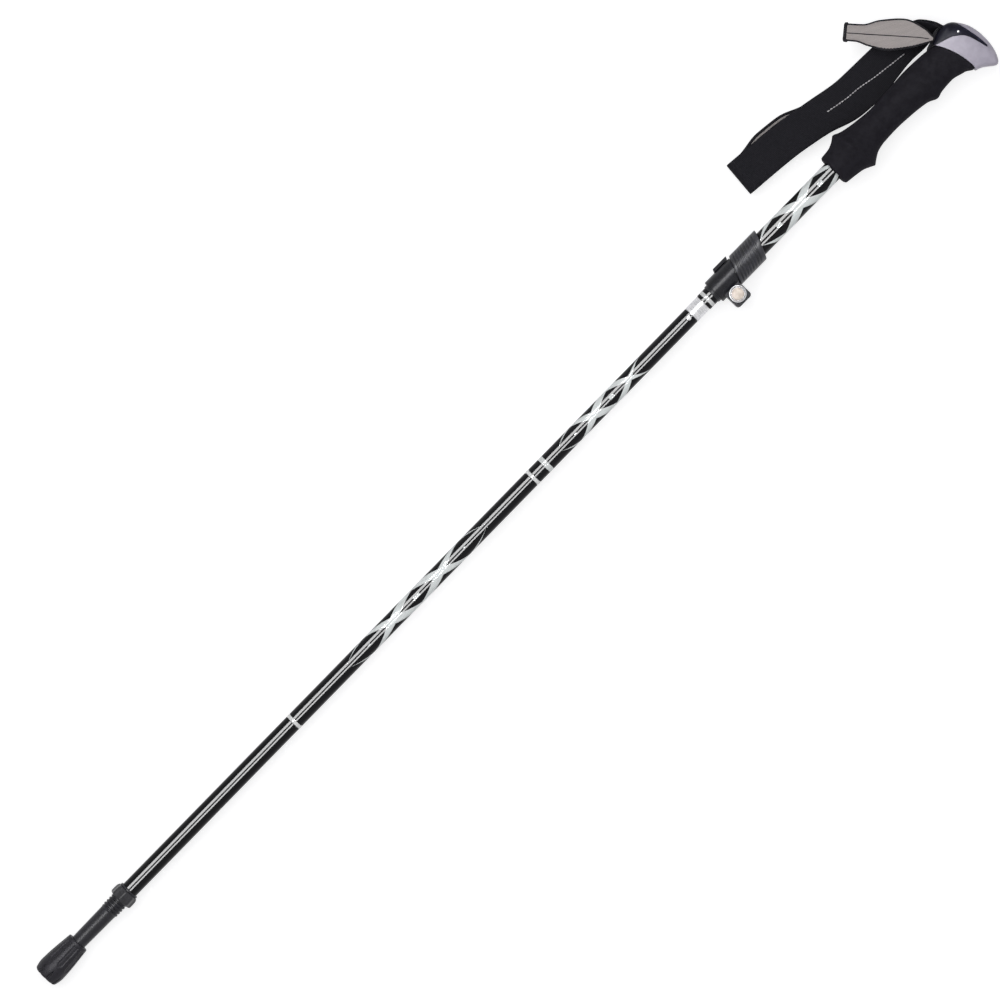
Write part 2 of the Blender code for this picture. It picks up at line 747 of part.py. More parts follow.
ANCHOR = HOLDER_END + GAP
turned(
    "cord_anchor",
    [
        (ANCHOR + STOP_DISC, CORD_RADIUS + GAP),
        (ANCHOR + STOP_DISC, STOP_RADIUS),
        (ANCHOR, STOP_RADIUS),
        (ANCHOR, CRIMP_RADIUS),
        (ANCHOR - CRIMP_LENGTH, CRIMP_RADIUS),
        (ANCHOR - CRIMP_LENGTH, CORD_RADIUS + GAP),
    ],
    SECTION_5, ALUMINIUM, SMALL_SIDES,
)
turned(
    "cord_stop",
    [
        (CORD_STOP, CORD_RADIUS + GAP),
        (CORD_STOP, STOP_RADIUS),
        (CORD_STOP + STOP_DISC, STOP_RADIUS),
        (CORD_STOP + STOP_DISC, CRIMP_RADIUS),
        (CORD_STOP + STOP_DISC + CRIMP_LENGTH, CRIMP_RADIUS),
        (CORD_STOP + STOP_DISC + CRIMP_LENGTH, CORD_RADIUS + GAP),
    ],
    SECTION_5, ALUMINIUM, SMALL_SIDES,
)
CORD_LOW = ANCHOR - CRIMP_LENGTH
CORD_HIGH = CORD_STOP + STOP_DISC + CRIMP_LENGTH
cord_points = [(CORD_LOW + (CORD_HIGH - CORD_LOW) * i / 12, 0.0, 0.0) for i in range(13)]
wire("tension_cord", cord_points, CORD_RADIUS, 2, SECTION_5, WEBBING)


# Upper tube, slit at its foot so that the clamp can close it, and its end bush

upper_tube = tube("upper_tube", UPPER_TUBE, UPPER_LENGTH, UPPER_RADIUS, UPPER_WALL, HANDLE)
slit_outline = [
    (UPPER_TUBE - 0.002, -0.012),
    (UPPER_TUBE + SLIT_LENGTH, -0.012),
    (UPPER_TUBE + SLIT_LENGTH, 0.012),
    (UPPER_TUBE - 0.002, 0.012),
]
slit = prism(
    "tube_slit", slit_outline, "Z", -SLIT_WIDTH / 2, SLIT_WIDTH / 2, HANDLE, BLACK_PAINT
)
combine(upper_tube, "DIFFERENCE", slit)
END_BUSH_TOP = END_BUSH + END_BUSH_LENGTH
turned(
    "tube_end_bush",
    [
        (END_BUSH, INNER_RADIUS + RUNNING),
        (END_BUSH_TOP, INNER_RADIUS + RUNNING),
        (END_BUSH_TOP, END_BUSH_RADIUS),
        (END_BUSH + 0.0006, END_BUSH_RADIUS),
        (END_BUSH, END_BUSH_RADIUS - 0.0004),
    ],
    HANDLE, BLACK_PLASTIC,
)


# Lever clamp. The ribbed sleeve and the band below it meet on a slant.

def slanted_ring(x, radius, slant):
    """A circle whose stations rise towards +Y."""
    return [(x + slant * y, y, z) for x, y, z in ring(x, radius, SIDES)]


SLEEVE_AT = UPPER_TUBE + SLEEVE_START
SLEEVE_END = SLEEVE_AT + SLEEVE_LENGTH
CLAMP_BORE = UPPER_RADIUS + GAP
sleeve_rings = [
    slanted_ring(SLEEVE_AT, CLAMP_BORE, SLEEVE_SLANT),
    slanted_ring(SLEEVE_AT, SLEEVE_RADIUS - RIB_HEIGHT, SLEEVE_SLANT),
]
rib_pitch = (SLEEVE_LENGTH - 0.0060) / SLEEVE_RIBS
for i in range(SLEEVE_RIBS):
    x = SLEEVE_AT + 0.0030 + rib_pitch * i
    sleeve_rings.append(slanted_ring(x, SLEEVE_RADIUS - RIB_HEIGHT, SLEEVE_SLANT))
    sleeve_rings.append(slanted_ring(x + 0.5 * rib_pitch, SLEEVE_RADIUS, SLEEVE_SLANT))
sleeve_rings += [
    slanted_ring(SLEEVE_END - 0.0020, SLEEVE_RADIUS, SLEEVE_SLANT),
    slanted_ring(SLEEVE_END - 0.0004, SLEEVE_RADIUS - 0.0002, SLEEVE_SLANT),
    slanted_ring(SLEEVE_END, SLEEVE_RADIUS - 0.0010, SLEEVE_SLANT),
    slanted_ring(SLEEVE_END, CLAMP_BORE, SLEEVE_SLANT),
]
lofted("clamp_sleeve", sleeve_rings, HANDLE, BLACK_PLASTIC, closed=True, smooth=25.0)

# The band is a split ring with a lug that the bolt goes through

BAND_START = UPPER_TUBE - BAND_OVERHANG
BAND_END = SLEEVE_AT - GAP
clamp_band = lofted(
    "clamp_band",
    [
        slanted_ring(BAND_START, BAND_RADIUS - 0.0010, 0.0),
        slanted_ring(BAND_START + 0.0010, BAND_RADIUS, 0.0),
        slanted_ring(BAND_END + 0.0010, BAND_RADIUS, SLEEVE_SLANT),
    ],
    HANDLE, BLACK_PLASTIC,
)
lug_outline = []
lug_half = LUG_LENGTH / 2
lug_corner = 0.0040
for side, turn in ((-1, math.pi), (1, 1.5 * math.pi)):
    for i in range(5):
        a = turn + math.pi / 2 * i / 4
        x = BOLT_AT + side * (lug_half - lug_corner) + lug_corner * math.cos(a)
        y = -BOLT_OFFSET - (lug_half - lug_corner) + lug_corner * math.sin(a)
        lug_outline.append((x, y))
lug_outline += [(BOLT_AT + lug_half, -0.0040), (BOLT_AT - lug_half, -0.0040)]
lug = prism(
    "clamp_lug", lug_outline, "Z", -LUG_BOTTOM, LUG_TOP, HANDLE, BLACK_PLASTIC
)
combine(clamp_band, "UNION", lug)
slant_reach = SLEEVE_RADIUS + 2 * GAP
slant_outline = [
    (BAND_END - SLEEVE_SLANT * slant_reach, -slant_reach),
    (SLEEVE_END, -slant_reach),
    (SLEEVE_END, slant_reach),
    (BAND_END + SLEEVE_SLANT * slant_reach, slant_reach),
]
beyond_slant = prism(
    "beyond_slant", slant_outline, "Z", -0.020, 0.020, HANDLE, BLACK_PLASTIC
)
combine(clamp_band, "DIFFERENCE", beyond_slant)
band_bore = rod(
    "clamp_bore", (0, 0), CLAMP_BORE, "X", BAND_START - 0.005, SLEEVE_AT + 0.010, HANDLE,
    BLACK_PLASTIC, SIDES,
)
combine(clamp_band, "DIFFERENCE", band_bore)
slot_outline = [
    (BAND_START - 0.005, -0.0300),
    (SLEEVE_AT + 0.010, -0.0300),
    (SLEEVE_AT + 0.010, -0.0020),
    (BAND_START - 0.005, -0.0020),
]
band_slot = prism(
    "clamp_slot", slot_outline, "Z", -LUG_SLOT / 2, LUG_SLOT / 2, HANDLE, BLACK_PLASTIC
)
combine(clamp_band, "DIFFERENCE", band_slot)
bolt_hole = rod(
    "clamp_bolt_hole", (BOLT_AT, -BOLT_OFFSET), BOLT_RADIUS + GAP, "Z", -0.020, 0.020,
    HANDLE, BLACK_PLASTIC,
)
combine(clamp_band, "DIFFERENCE", bolt_hole)

# Bolt, from the cross pin in the lever to the adjusting nut

NUT_BOTTOM = LUG_TOP + 0.0004
NUT_TOP = NUT_BOTTOM + NUT_HEIGHT
BARREL_TOP = -BARREL_DROP + BARREL_RADIUS
rod(
    "clamp_bolt", (BOLT_AT, -BOLT_OFFSET), BOLT_RADIUS, "Z", BARREL_TOP + GAP,
    NUT_TOP - NUT_DISC_HEIGHT - GAP, HANDLE, STEEL,
)
rod(
    "lever_barrel", (-BOLT_OFFSET, -BARREL_DROP), BARREL_RADIUS, "X",
    BOLT_AT - LEVER_WIDTH / 2, BOLT_AT + LEVER_WIDTH / 2, HANDLE, STEEL,
)

# Adjusting nut: a round nut with a disc let into its top

thumb_nut = rod(
    "thumb_nut", (BOLT_AT, -BOLT_OFFSET), NUT_RADIUS, "Z", NUT_BOTTOM, NUT_TOP, NUT,
    ALUMINIUM, SIDES,
)
nut_edge = thumb_nut.modifiers.new("edge", "BEVEL")
nut_edge.width = 0.0006
nut_edge.segments = 2
nut_edge.limit_method = "ANGLE"
nut_edge.angle_limit = math.radians(50)
nut_recess = rod(
    "nut_recess", (BOLT_AT, -BOLT_OFFSET), NUT_DISC_RADIUS + PLAY, "Z",
    NUT_TOP - NUT_DISC_HEIGHT, NUT_TOP + 0.002, NUT, ALUMINIUM,
)
combine(thumb_nut, "DIFFERENCE", nut_recess)
nut_bore = rod(
    "nut_bore", (BOLT_AT, -BOLT_OFFSET), BOLT_RADIUS + PLAY, "Z", NUT_BOTTOM - 0.002,
    NUT_TOP + 0.002, NUT, ALUMINIUM,
)
combine(thumb_nut, "DIFFERENCE", nut_bore)
rod(
    "nut_disc", (BOLT_AT, -BOLT_OFFSET), NUT_DISC_RADIUS - GAP, "Z",
    NUT_TOP - NUT_DISC_HEIGHT + GAP, NUT_TOP + 0.0002, NUT, COPPER_DISC,
)

# Lever: two cheeks on the cross pin and a plate that wraps under the band

LEVER_INNER = BAND_RADIUS + 0.0006
LEVER_OUTER = LEVER_INNER + LEVER_THICKNESS
hub = Vector((-BOLT_OFFSET, -BARREL_DROP))
lever_outline = []
for i in range(9):
    a = math.radians(60 + 210 * i / 8)
    lever_outline.append(hub + LEVER_HUB_RADIUS * Vector((math.cos(a), math.sin(a))))
for i in range(12):
    a = math.radians(-100 + 108 * i / 11)
    lever_outline.append(LEVER_OUTER * Vector((math.cos(a), math.sin(a))))
for i in range(12):
    a = math.radians(8 - 118 * i / 11)
    lever_outline.append(LEVER_INNER * Vector((math.cos(a), math.sin(a))))
lever_ends = []
for edge in (BOLT_AT - LEVER_WIDTH / 2, BOLT_AT + LEVER_WIDTH / 2):
    points = []
    for y, z in lever_outline:
        points.append((edge + LEVER_SLANT * max(y - LEVER_STRAIGHT, 0.0), y, z))
    lever_ends.append(points)
clamp_lever = lofted("clamp_lever", lever_ends, LEVER, BLACK_PLASTIC)
lever_bore = rod(
    "lever_bore", tuple(hub), BARREL_RADIUS + PLAY, "X", BOLT_AT - LEVER_WIDTH,
    BOLT_AT + LEVER_WIDTH, LEVER, BLACK_PLASTIC,
)
combine(clamp_lever, "DIFFERENCE", lever_bore)
lever_slot_outline = [
    (-BOLT_OFFSET - 0.010, -BARREL_DROP - 0.0100),
    (-BOLT_OFFSET + BOLT_RADIUS + 0.0004, -BARREL_DROP - 0.0100),
    (-BOLT_OFFSET + BOLT_RADIUS + 0.0004, -BARREL_DROP + 0.0100),
    (-BOLT_OFFSET - 0.010, -BARREL_DROP + 0.0100),
]
lever_slot = prism(
    "lever_slot", lever_slot_outline, "X", BOLT_AT - LEVER_SLOT / 2,
    BOLT_AT + LEVER_SLOT / 2, LEVER, BLACK_PLASTIC,
)
combine(clamp_lever, "DIFFERENCE", lever_slot)


# Foam grip. Each ring is given by its station and reach at the back (+Y) and at
# the front (-Y), by its half height in Z and by how square it is. Stations are
# from the foot of the grip.

GRIP_RINGS = (
    (0.0010, 0.0143, 0.0010, 0.0153, 0.0146, 2.0),
    (0.0100, 0.0152, 0.0104, 0.0166, 0.0158, 2.0),
    (0.0165, 0.0176, 0.0188, 0.0180, 0.0178, 2.0),
    (0.0215, FLARE_RADIUS - 0.0010, 0.0285, FLARE_RADIUS + 0.0005, 0.0214, 2.0),
    (0.0226, FLARE_RADIUS - 0.0010, 0.0292, FLARE_RADIUS + 0.0007, FLARE_RADIUS, 2.0),
    (0.0276, 0.0186, 0.0344, 0.0191, 0.0190, 2.0),
    (0.0368, 0.0164, 0.0403, 0.0160, 0.0164, 2.0),
    (0.0480, 0.0148, 0.0490, 0.0144, 0.0152, 2.0),
    (0.0620, 0.0137, 0.0640, 0.0139, 0.0149, 2.0),
    (0.0800, 0.0144, 0.0800, 0.0148, 0.0152, 2.1),
    (0.0950, 0.0153, 0.0980, 0.0172, 0.0156, 2.2),
    (0.1030, 0.0156, 0.1070, 0.0209, 0.0158, 2.2),
    (0.1100, 0.0154, 0.1140, 0.0193, 0.0154, 2.3),
    (0.1220, 0.0147, 0.1260, 0.0186, 0.0148, 2.5),
    (0.1300, 0.0139, 0.1380, 0.0215, 0.0143, 2.8),
)
TOP_BACK = 0.0128
TOP_FRONT = 0.0256
TOP_HALF = 0.0138
TOP_SQUARE = 3.2


def seam(y):
    """Station of the joint between foam and head, which curves back at +Y."""
    return HEAD_AT - 0.368 * y - 7.5 * y * y


def oval(back, front, half, square, sides):
    """Points (y, z) of a rounded outline, with its widest part midway."""
    middle = (back - front) / 2
    reach = (back + front) / 2
    points = []
    for i in range(sides):
        a = 2 * math.pi * i / sides
        c = math.cos(a)
        s = math.sin(a)
        y = middle + reach * math.copysign(abs(c) ** (2 / square), c)
        z = half * math.copysign(abs(s) ** (2 / square), s)
        points.append((y, z))
    return points


def grip_ring(back_at, back, front_at, front, half, square):
    """One ring of the foam, slanted between its back and front stations."""
    points = []
    for y, z in oval(back, front, half, square, GRIP_SIDES):
        share = (back - y) / (back + front)
        points.append((GRIP_AT + back_at + (front_at - back_at) * share, y, z))
    return points


GRIP_BORE = UPPER_RADIUS + GAP
grip_rings = [ring(GRIP_AT + 0.0010, GRIP_BORE, GRIP_SIDES)]
grip_rings += [grip_ring(*values) for values in GRIP_RINGS]
top_outline = oval(TOP_BACK, TOP_FRONT, TOP_HALF, TOP_SQUARE, GRIP_SIDES)
top_bore = [point[1:] for point in ring(0, GRIP_BORE, GRIP_SIDES)]
for share in (0.0, 0.5, 1.0):
    points = []
    for (outer_y, outer_z), (bore_y, bore_z) in zip(top_outline, top_bore):
        y = outer_y + (bore_y - outer_y) * share
        z = outer_z + (bore_z - outer_z) * share
        points.append((seam(y), y, z))
    grip_rings.append(points)
lofted("foam_grip", grip_rings, HANDLE, BLACK_FOAM, closed=True, smooth=60.0)


# Grip head. Its form runs from the back to the beak in upright ovals, each given
# by its place in Y, its lowest and highest station from the end of the tube and
# its half height in Z.

HEAD_SIDES = 24
HEAD_OVALS = (
    (0.0188, 0.0060, 0.0132, 0.0080),
    (0.0180, 0.0020, 0.0158, 0.0104),
    (0.0158, -0.0050, 0.0192, 0.0119),
    (0.0126, -0.0140, 0.0219, 0.0128),
    (0.0080, -0.0140, 0.0250, 0.0136),
    (0.0030, -0.0140, 0.0273, 0.0140),
    (-0.0030, -0.0140, 0.0288, 0.0141),
    (-0.0090, -0.0140, 0.0295, 0.0140),
    (-0.0150, -0.0130, 0.0295, 0.0136),
    (-0.0210, -0.0090, 0.0289, 0.0128),
    (-0.0256, -0.0010, 0.0279, 0.0118),
    (-0.0292, 0.0094, 0.0267, 0.0104),
    (-0.0328, 0.0145, 0.0250, 0.0088),
    (-0.0355, 0.0178, 0.0232, 0.0066),
    (-0.0368, 0.0198, 0.0217, 0.0040),
)


def head_form(name, look):
    """The whole outside of the head, before it is divided."""
    loops = []
    for y, low, high, half in HEAD_OVALS:
        middle = HEAD_AT + (low + high) / 2
        points = []
        for up, z in oval((high - low) / 2, (high - low) / 2, half, 3.0, HEAD_SIDES):
            points.append((middle + up, y, z))
        loops.append(points)
    return lofted(name, loops, HANDLE, look, smooth=50.0)


def inset(outline, distance):
    """The outline moved inwards. Its points run anticlockwise."""
    moved = []
    count = len(outline)
    for i in range(count):
        here = Vector(outline[i])
        before = (here - Vector(outline[i - 1])).normalized()
        after = (Vector(outline[(i + 1) % count]) - here).normalized()
        inward = Vector((-before.y - after.y, before.x + after.x)).normalized()
        share = max(inward.dot(Vector((-before.y, before.x))), 0.5)
        moved.append(tuple(here + inward * distance / share))
    return moved


window = [(HEAD_AT + x, y) for x, y in WINDOW_LOW + WINDOW_HIGH]
window_area = 0.0
for first, second in zip(window, window[1:] + window[:1]):
    window_area += first[0] * second[1] - second[0] * first[1]
if window_area < 0:
    window.reverse()

grip_head = head_form("grip_head", LILAC_PLASTIC)
below_outline = []
for i in range(15):
    y = -0.032 + 0.056 * i / 14
    below_outline.append((seam(y) + GAP, y))
below_outline += [(HEAD_AT - 0.030, 0.024), (HEAD_AT - 0.030, -0.032)]
below_seam = prism(
    "below_seam", below_outline, "Z", -0.030, 0.030, HANDLE, LILAC_PLASTIC
)
combine(grip_head, "DIFFERENCE", below_seam)
head_window = prism(
    "head_window", window, "Z", -0.030, 0.030, HANDLE, LILAC_PLASTIC
)
combine(grip_head, "DIFFERENCE", head_window)
head_bore = rod(
    "head_bore", (0, 0), GRIP_BORE, "X", HEAD_AT - 0.040, HEAD_AT + GAP, HANDLE,
    LILAC_PLASTIC, SIDES,
)
combine(grip_head, "DIFFERENCE", head_bore)
head_boss = rod(
    "head_boss", (0, 0), UPPER_BORE - GAP, "X", HEAD_AT - HEAD_BOSS_LENGTH,
    HEAD_AT + 0.0020, HANDLE, LILAC_PLASTIC, SMALL_SIDES,
)
combine(grip_head, "UNION", head_boss)


# Strap wedge: fills the window, with a pocket for the strap's eye and a hole for
# the pin

PIN_X = HEAD_AT + STRAP_PIN_AT[0]
PIN_Y = STRAP_PIN_AT[1]
EYE_RADIUS = STRAP_PIN_RADIUS + GAP + STRAP_THICKNESS / 2
POCKET_RADIUS = EYE_RADIUS + STRAP_THICKNESS / 2 + GAP
EXIT_BACK = 0.0060
EXIT_ASIDE = 0.0110
EXIT = Vector((-EXIT_BACK, EXIT_ASIDE)).normalized()

strap_wedge = head_form("strap_wedge", DARK_PLASTIC)
wedge_body = prism(
    "wedge_body", inset(window, GAP), "Z", -0.030, 0.030, HANDLE, DARK_PLASTIC
)
combine(strap_wedge, "INTERSECT", wedge_body)
pocket_outline = []
exit_turn = math.atan2(EXIT.y, EXIT.x)
for i in range(9):
    a = exit_turn + math.pi / 2 + math.pi * i / 8
    x = PIN_X + POCKET_RADIUS * math.cos(a)
    pocket_outline.append((x, PIN_Y + POCKET_RADIUS * math.sin(a)))
for i in (8, 0):
    a = exit_turn + math.pi / 2 + math.pi * i / 8
    x = PIN_X + POCKET_RADIUS * math.cos(a) + POCKET_REACH * EXIT.x
    y = PIN_Y + POCKET_RADIUS * math.sin(a) + POCKET_REACH * EXIT.y
    pocket_outline.append((x, y))
pocket_half = STRAP_ROOT_WIDTH / 2 + GAP
pocket = prism(
    "strap_pocket", pocket_outline, "Z", -pocket_half, pocket_half, HANDLE, DARK_PLASTIC
)
combine(strap_wedge, "DIFFERENCE", pocket)
pin_hole = rod(
    "strap_pin_hole", (PIN_X, PIN_Y), STRAP_PIN_RADIUS + GAP, "Z", -0.020, 0.020, HANDLE,
    DARK_PLASTIC,
)
combine(strap_wedge, "DIFFERENCE", pin_hole)
rod(
    "strap_pin", (PIN_X, PIN_Y), STRAP_PIN_RADIUS, "Z", -STRAP_PIN_HALF, STRAP_PIN_HALF,
    HANDLE, STEEL,
)


# Wrist strap. Two layers of one closed band run side by side from the pin, turn
# from on edge to flat, lie on the ground and join again in a fold at the far end.

FLAT = STRAP_THICKNESS / 2 + STRAP_FOLD_RADIUS
FAR = STRAP_LOOP_LENGTH
STRAP_ROUTE = (
    (0.0, 0.0, None),
    (EXIT_BACK, EXIT_ASIDE, None),
    (0.0090, 0.0160, 0.0231),
    (0.0130, 0.0188, 0.0224),
    (0.0190, 0.0220, 0.0198),
    (0.0280, 0.0238, 0.0160),
    (0.0420, 0.0262, 0.0118),
    (0.0620, 0.0272, 0.0086),
    (0.0990, 0.0285, FLAT),
    (0.1340, 0.0346, FLAT),
    (0.1680, 0.0406, FLAT),
    (FAR, 0.0449, FLAT),
)
STRAP_TWIST = ((0.0, 0.0), (0.0075, 0.0), (0.019, 50.0), (0.050, 90.0), (FAR, 90.0))
STRAP_SPREAD = (
    (0.0, EYE_RADIUS),
    (0.0075, EYE_RADIUS),
    (0.019, 0.0016),
    (0.030, 0.0020),
    (0.090, STRAP_FOLD_RADIUS),
    (FAR, STRAP_FOLD_RADIUS),
)
STRAP_WIDTHS = (
    (0.0, STRAP_ROOT_WIDTH),
    (0.0085, STRAP_ROOT_WIDTH),
    (0.019, 0.0240),
    (0.050, STRAP_WIDTH),
    (FAR, STRAP_WIDTH),
)


def strap_centre(back):
    """Middle between the two layers, at a distance back from the pin."""
    stations = []
    for distance, aside, height in STRAP_ROUTE:
        x = PIN_X - distance
        z = 0.0 if height is None else ground(x) + height
        stations.append((distance, PIN_Y + aside, z))
    y = through([(d, y) for d, y, z in stations], back)
    z = through([(d, z) for d, y, z in stations], back)
    return Vector((PIN_X - back, y, z))


def strap_station(back):
    """Middle, direction, way from the upper to the lower layer and width's way."""
    step = 0.0004
    low = max(back - step, 0.0)
    high = min(back + step, FAR)
    along = (strap_centre(high) - strap_centre(low)).normalized()
    if back <= EXIT_BACK:
        along = Vector((EXIT.x, EXIT.y, 0.0))
    aside = Vector((along.y, -along.x, 0.0)).normalized()
    twist = math.radians(through(STRAP_TWIST, back))
    apart = aside * math.cos(twist) + DOWN * math.sin(twist)
    apart = (apart - along * apart.dot(along)).normalized()
    return strap_centre(back), along, apart, along.cross(apart)


def strap_ring(middle, normal, across, width):
    """Four corners of the band's section."""
    a = across * width / 2
    b = normal * STRAP_THICKNESS / 2
    return [middle + a + b, middle + a - b, middle - a - b, middle - a + b]


strap_rings = []
distances = []
for i in range(STRAP_STEPS + 1):
    share = i / STRAP_STEPS
    distances.append(FAR * (0.15 * share + 0.85 * share * share))
for back in distances:
    middle, along, apart, across = strap_station(back)
    spread = through(STRAP_SPREAD, back)
    width = through(STRAP_WIDTHS, back)
    strap_rings.append(strap_ring(middle + apart * spread, apart, across, width))
middle, along, apart, across = strap_station(FAR)
for i in range(1, 8):
    a = math.pi * i / 8
    normal = apart * math.cos(a) + along * math.sin(a)
    spot = middle + normal * STRAP_FOLD_RADIUS
    strap_rings.append(strap_ring(spot, normal, across, STRAP_WIDTH))
for back in reversed(distances):
    middle, along, apart, across = strap_station(back)
    spread = through(STRAP_SPREAD, back)
    width = through(STRAP_WIDTHS, back)
    strap_rings.append(strap_ring(middle - apart * spread, -apart, across, width))
middle, along, apart, across = strap_station(0.0)
for i in range(1, 8):
    a = math.pi * i / 8
    normal = -apart * math.cos(a) - along * math.sin(a)
    spot = middle + normal * EYE_RADIUS
    strap_rings.append(strap_ring(spot, normal, across, STRAP_ROOT_WIDTH))
lofted("wrist_strap", strap_rings, HANDLE, WEBBING, closed=True)


# Loose tail of the strap: a leaf that starts on the strap's upper edge behind the
# head and reaches out over the loop

TAIL_ROOT = Vector((PIN_X - 0.0190, PIN_Y + 0.0105))
TAIL_WAY = Vector((-0.608, 0.794))
TAIL_LEFT = ((0.0, 0.0022), (0.106, 0.0092), (0.34, 0.0152), (0.61, 0.0121))
TAIL_LEFT += ((0.80, 0.0072), (1.0, 0.0069))
TAIL_RIGHT = ((0.0, 0.0022), (0.27, 0.0081), (0.52, 0.0116), (0.72, 0.0095))
TAIL_RIGHT += ((0.86, 0.0070), (1.0, 0.0072))
TAIL_HEIGHT = ((0.0, 0.0325), (0.35, 0.0325), (0.70, 0.0270), (1.0, 0.0200))
TAIL_STEPS = 14

tail_rings = []
tail_across = Vector((TAIL_WAY.y, -TAIL_WAY.x))
for i in range(TAIL_STEPS + 1):
    t = i / TAIL_STEPS
    middle = TAIL_ROOT + TAIL_WAY * TAIL_LENGTH * t
    left = middle + tail_across * through(TAIL_LEFT, t)
    right = middle - tail_across * through(TAIL_RIGHT, t)
    height = through(TAIL_HEIGHT, t)
    points = []
    for spot, lift in ((left, 0.5), (left, -0.5), (right, -0.5), (right, 0.5)):
        z = ground(spot.x) + height + lift * TAIL_THICKNESS
        points.append((spot.x, spot.y, z))
    tail_rings.append(points)
lofted("strap_tail", tail_rings, HANDLE, GREY_WEBBING)


# Tip the pole onto the ground, with the origin under the middle of its box

POLE.rotation_euler = (0.0, -TILT, 0.0)
bpy.context.view_layer.update()
graph = bpy.context.evaluated_depsgraph_get()
lows = [math.inf] * 3
highs = [-math.inf] * 3
for item in bpy.data.objects:
    if item.type == "EMPTY" or item.hide_render:
        continue
    shown = item.evaluated_get(graph)
    mesh = shown.to_mesh()
    for vertex in mesh.vertices:
        spot = shown.matrix_world @ vertex.co
        lows = [min(a, b) for a, b in zip(lows, spot)]
        highs = [max(a, b) for a, b in zip(highs, spot)]
    shown.to_mesh_clear()
POLE.location = (-(lows[0] + highs[0]) / 2, -(lows[1] + highs[1]) / 2, -lows[2])
bpy.context.view_layer.update()
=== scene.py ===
import json
import math

import bmesh
import bpy
from mathutils import Matrix, Vector


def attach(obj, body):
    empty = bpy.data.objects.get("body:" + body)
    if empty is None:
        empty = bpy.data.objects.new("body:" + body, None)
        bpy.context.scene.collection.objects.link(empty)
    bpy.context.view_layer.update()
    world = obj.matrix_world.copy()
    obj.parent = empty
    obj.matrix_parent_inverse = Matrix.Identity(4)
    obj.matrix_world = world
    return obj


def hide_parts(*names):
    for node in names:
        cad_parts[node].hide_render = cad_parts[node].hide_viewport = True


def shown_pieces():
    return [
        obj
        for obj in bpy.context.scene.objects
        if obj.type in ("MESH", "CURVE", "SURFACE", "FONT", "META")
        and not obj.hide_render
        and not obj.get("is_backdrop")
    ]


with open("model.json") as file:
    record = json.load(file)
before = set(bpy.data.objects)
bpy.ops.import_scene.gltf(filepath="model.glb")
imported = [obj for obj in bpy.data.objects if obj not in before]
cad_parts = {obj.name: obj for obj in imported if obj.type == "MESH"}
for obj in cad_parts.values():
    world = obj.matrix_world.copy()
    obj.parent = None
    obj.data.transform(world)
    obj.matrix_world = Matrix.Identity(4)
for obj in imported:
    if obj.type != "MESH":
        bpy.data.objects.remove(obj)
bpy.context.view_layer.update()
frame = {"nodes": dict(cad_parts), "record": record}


# Rubber boot
# A moulded cap of black rubber, pushed over the pole's hard tip. Short notches
# run up from its sole and long shallow panels run down from its rim.

sole = frame["record"]["mounts"][0]
pole_x = -Vector(sole["axis"])
pole_y = Vector((0.0, 1.0, 0.0))
POLE = Matrix((pole_x, pole_y, pole_x.cross(pole_y))).transposed().to_4x4()
POLE.translation = Vector(sole["pos_m"])


def through(keys, t):
    """Smooth value at t of a curve through (t, value) keys, with no overshoot."""
    last = len(keys) - 1
    k = 0
    while k < last - 1 and t > keys[k + 1][0]:
        k += 1
    rates = []
    for low, high in zip(keys, keys[1:]):
        rates.append((high[1] - low[1]) / (high[0] - low[0]))
    slopes = [rates[0]]
    for before, after in zip(rates, rates[1:]):
        same_way = before * after > 0
        slopes.append(2 * before * after / (before + after) if same_way else 0.0)
    slopes.append(rates[-1])
    span = keys[k + 1][0] - keys[k][0]
    s = min(max((t - keys[k][0]) / span, 0.0), 1.0)
    rise = keys[k + 1][1] - keys[k][1]
    value = keys[k][1] + rise * s * s * (3 - 2 * s)
    value += span * slopes[k] * s * (1 - s) ** 2
    return value - span * slopes[k + 1] * s * s * (1 - s)


def soft_step(low, high, value):
    """0 below low, 1 above high and a smooth rise between them."""
    s = min(max((value - low) / (high - low), 0.0), 1.0)
    return s * s * (3 - 2 * s)


def circle(x, radius, sides):
    """A ring of points about the pole's axis. The radius may be a function of (x, turn)."""
    points = []
    for i in range(sides):
        turn = 2 * math.pi * i / sides
        out = radius(x, turn) if callable(radius) else radius
        points.append((x, out * math.cos(turn), out * math.sin(turn)))
    return points


def skin(name, rings, closed=False, crease=35.0):
    """A mesh through rings of points in the pole's frame, with capped ends unless closed."""
    build = bmesh.new()
    loops = [[build.verts.new(point) for point in ring] for ring in rings]
    pairs = list(zip(loops, loops[1:]))
    if closed:
        pairs.append((loops[-1], loops[0]))
    else:
        build.faces.new(loops[0])
        build.faces.new(loops[-1])
    for first, second in pairs:
        for i in range(len(first)):
            j = (i + 1) % len(first)
            build.faces.new((first[i], first[j], second[j], second[i]))
    bmesh.ops.recalc_face_normals(build, faces=build.faces)
    mesh = bpy.data.meshes.new(name)
    build.to_mesh(mesh)
    build.free()
    mesh.shade_smooth()
    mesh.set_sharp_from_angle(angle=math.radians(crease))
    piece = bpy.data.objects.new(name, mesh)
    bpy.context.scene.collection.objects.link(piece)
    piece.matrix_world = POLE
    return piece


def fit(piece, body, slot, material, *cad_nodes):
    """Gives the piece its finish and its body, and hides the solids that it stands for."""
    piece.data.materials.append(material)
    bpy.context.view_layer.update()
    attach(piece, body)
    if cad_nodes:
        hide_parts(*cad_nodes)


